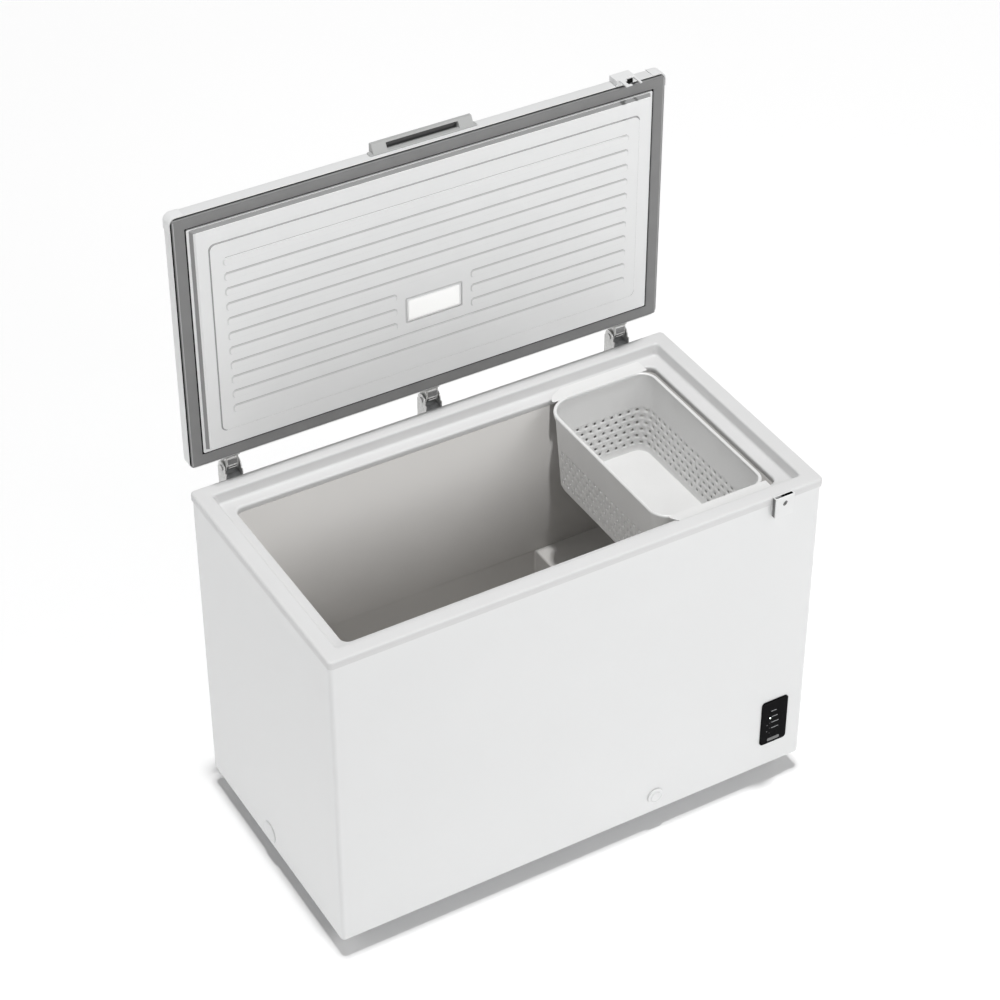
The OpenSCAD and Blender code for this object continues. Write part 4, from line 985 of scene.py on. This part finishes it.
def build_room():
    """White floor, a dim dome, a sun overhead that throws the crisp shadow, and three soft lamps.
    Sizes and places are metres."""
    size, below = 12.0, 0.0004
    bpy.ops.mesh.primitive_plane_add(size=size, location=(0, 0, -below))
    floor = bpy.context.object
    floor.name = "floor"
    floor.data.materials.append(floor_look)
    shader = floor_look.node_tree.nodes["Principled BSDF"]
    shader.inputs["Emission Color"].default_value = (1, 1, 1, 1)
    shader.inputs["Emission Strength"].default_value = 0.04
    scene = bpy.context.scene
    scene.view_settings.view_transform = "Standard"
    world = bpy.data.worlds.new("studio")
    scene.world = world
    world.use_nodes = True
    tree = world.node_tree
    background = tree.nodes["Background"]
    coords = tree.nodes.new("ShaderNodeTexCoord")
    split = tree.nodes.new("ShaderNodeSeparateXYZ")
    ramp = tree.nodes.new("ShaderNodeValToRGB")
    ramp.color_ramp.elements[0].color = (1.0, 1.0, 1.0, 1)
    ramp.color_ramp.elements[1].color = (0.30, 0.30, 0.30, 1)
    tree.links.new(coords.outputs["Generated"], split.inputs["Vector"])
    tree.links.new(split.outputs["Z"], ramp.inputs["Fac"])
    tree.links.new(ramp.outputs["Color"], background.inputs["Color"])
    background.inputs["Strength"].default_value = 0.5
    sun = bpy.data.lights.new("overhead", "SUN")
    sun.energy = 2.2
    sun.angle = math.radians(2.5)
    scene.collection.objects.link(bpy.data.objects.new("overhead", sun))
    target = Vector((0, 0, 0.8))
    for name, place, watts, width in (("front_key", (2.2, -4.4, 3.2), 38, 4.0),
                                      ("left_fill", (-3.4, -0.4, 2.4), 15, 2.0),
                                      ("lid_key", (0.9, -2.6, 2.0), 18, 1.5)):
        lamp = bpy.data.lights.new(name, "AREA")
        lamp.energy = watts
        lamp.size = width
        lamp_object = bpy.data.objects.new(name, lamp)
        lamp_object.location = place
        lamp_object.rotation_euler = (target - lamp_object.location).to_track_quat("-Z", "Y").to_euler()
        scene.collection.objects.link(lamp_object)


def build_camera():
    """Camera at the viewing angle, with no shift and no depth of field; metres and millimetres."""
    azimuth, elevation = math.radians(30.20), math.radians(38.13)
    camera = bpy.data.cameras.new("camera")
    camera.sensor_width = 36
    camera.lens = 101.4
    camera.clip_end = 60
    camera_object = bpy.data.objects.new("camera", camera)
    camera_object.location = (-2.2454, -3.8280, 4.2353)
    camera_object.rotation_euler = (math.pi / 2 - elevation, 0, -azimuth)
    bpy.context.scene.collection.objects.link(camera_object)
    bpy.context.scene.camera = camera_object


build_camera()
build_room()
build_collar()
build_tub()
build_fascia()
build_lock()
build_keyhole()
build_hinge_details()
build_caps()
build_wheels()
build_lid_shell()
build_lid_lining()
build_lid_beads()
build_plug_edges()
build_lid_lamp()
build_lid_core()
build_gasket()
build_handle()
build_hasp()
build_basket()

paint(white_paint, 0, "outer_shell")
paint(rear_paint, 0, "rear_panel", "rear_service_cover")
paint(galvanised, 0, "base_plate", "compressor_tray")
paint(foam_look, 0, "foam_insulation")
paint(black_paint, 0, "compressor")
paint(rubber_look, 0, "compressor_grommets")
paint(black_plastic, 0.5, "relay_cover", "cord_gland")
paint(coil_look, 0, "evaporator_coil", "condenser_coil")
paint(copper, 0, "filter_drier", "refrigerant_tubes")
paint(white_plastic, 0, "drain_tube", "inner_drain_plug", "lamp_base")
paint(white_plastic, 0.6, "side_vent_grille")
paint(grey_plastic, 0, "panel_housing")
paint(button_grey_and_shade_look, 0.4, "set_button")
paint(board_look, 0, "control_board", "lamp_board")
paint(plated, 0, "lock_cylinder", "lock_cam", "hinge_pins", "hinge_leaf_screws", "cabinet_screws")
paint(plated, 0.4, "hinge_brackets", "hinge_leaves", "castor_plates")
paint(spring_steel, 0, "hinge_springs")
for corner in CORNERS:
    paint(plated, 0.3, f"castor_fork_{corner}")
    paint(plated, 0, f"castor_axle_{corner}")
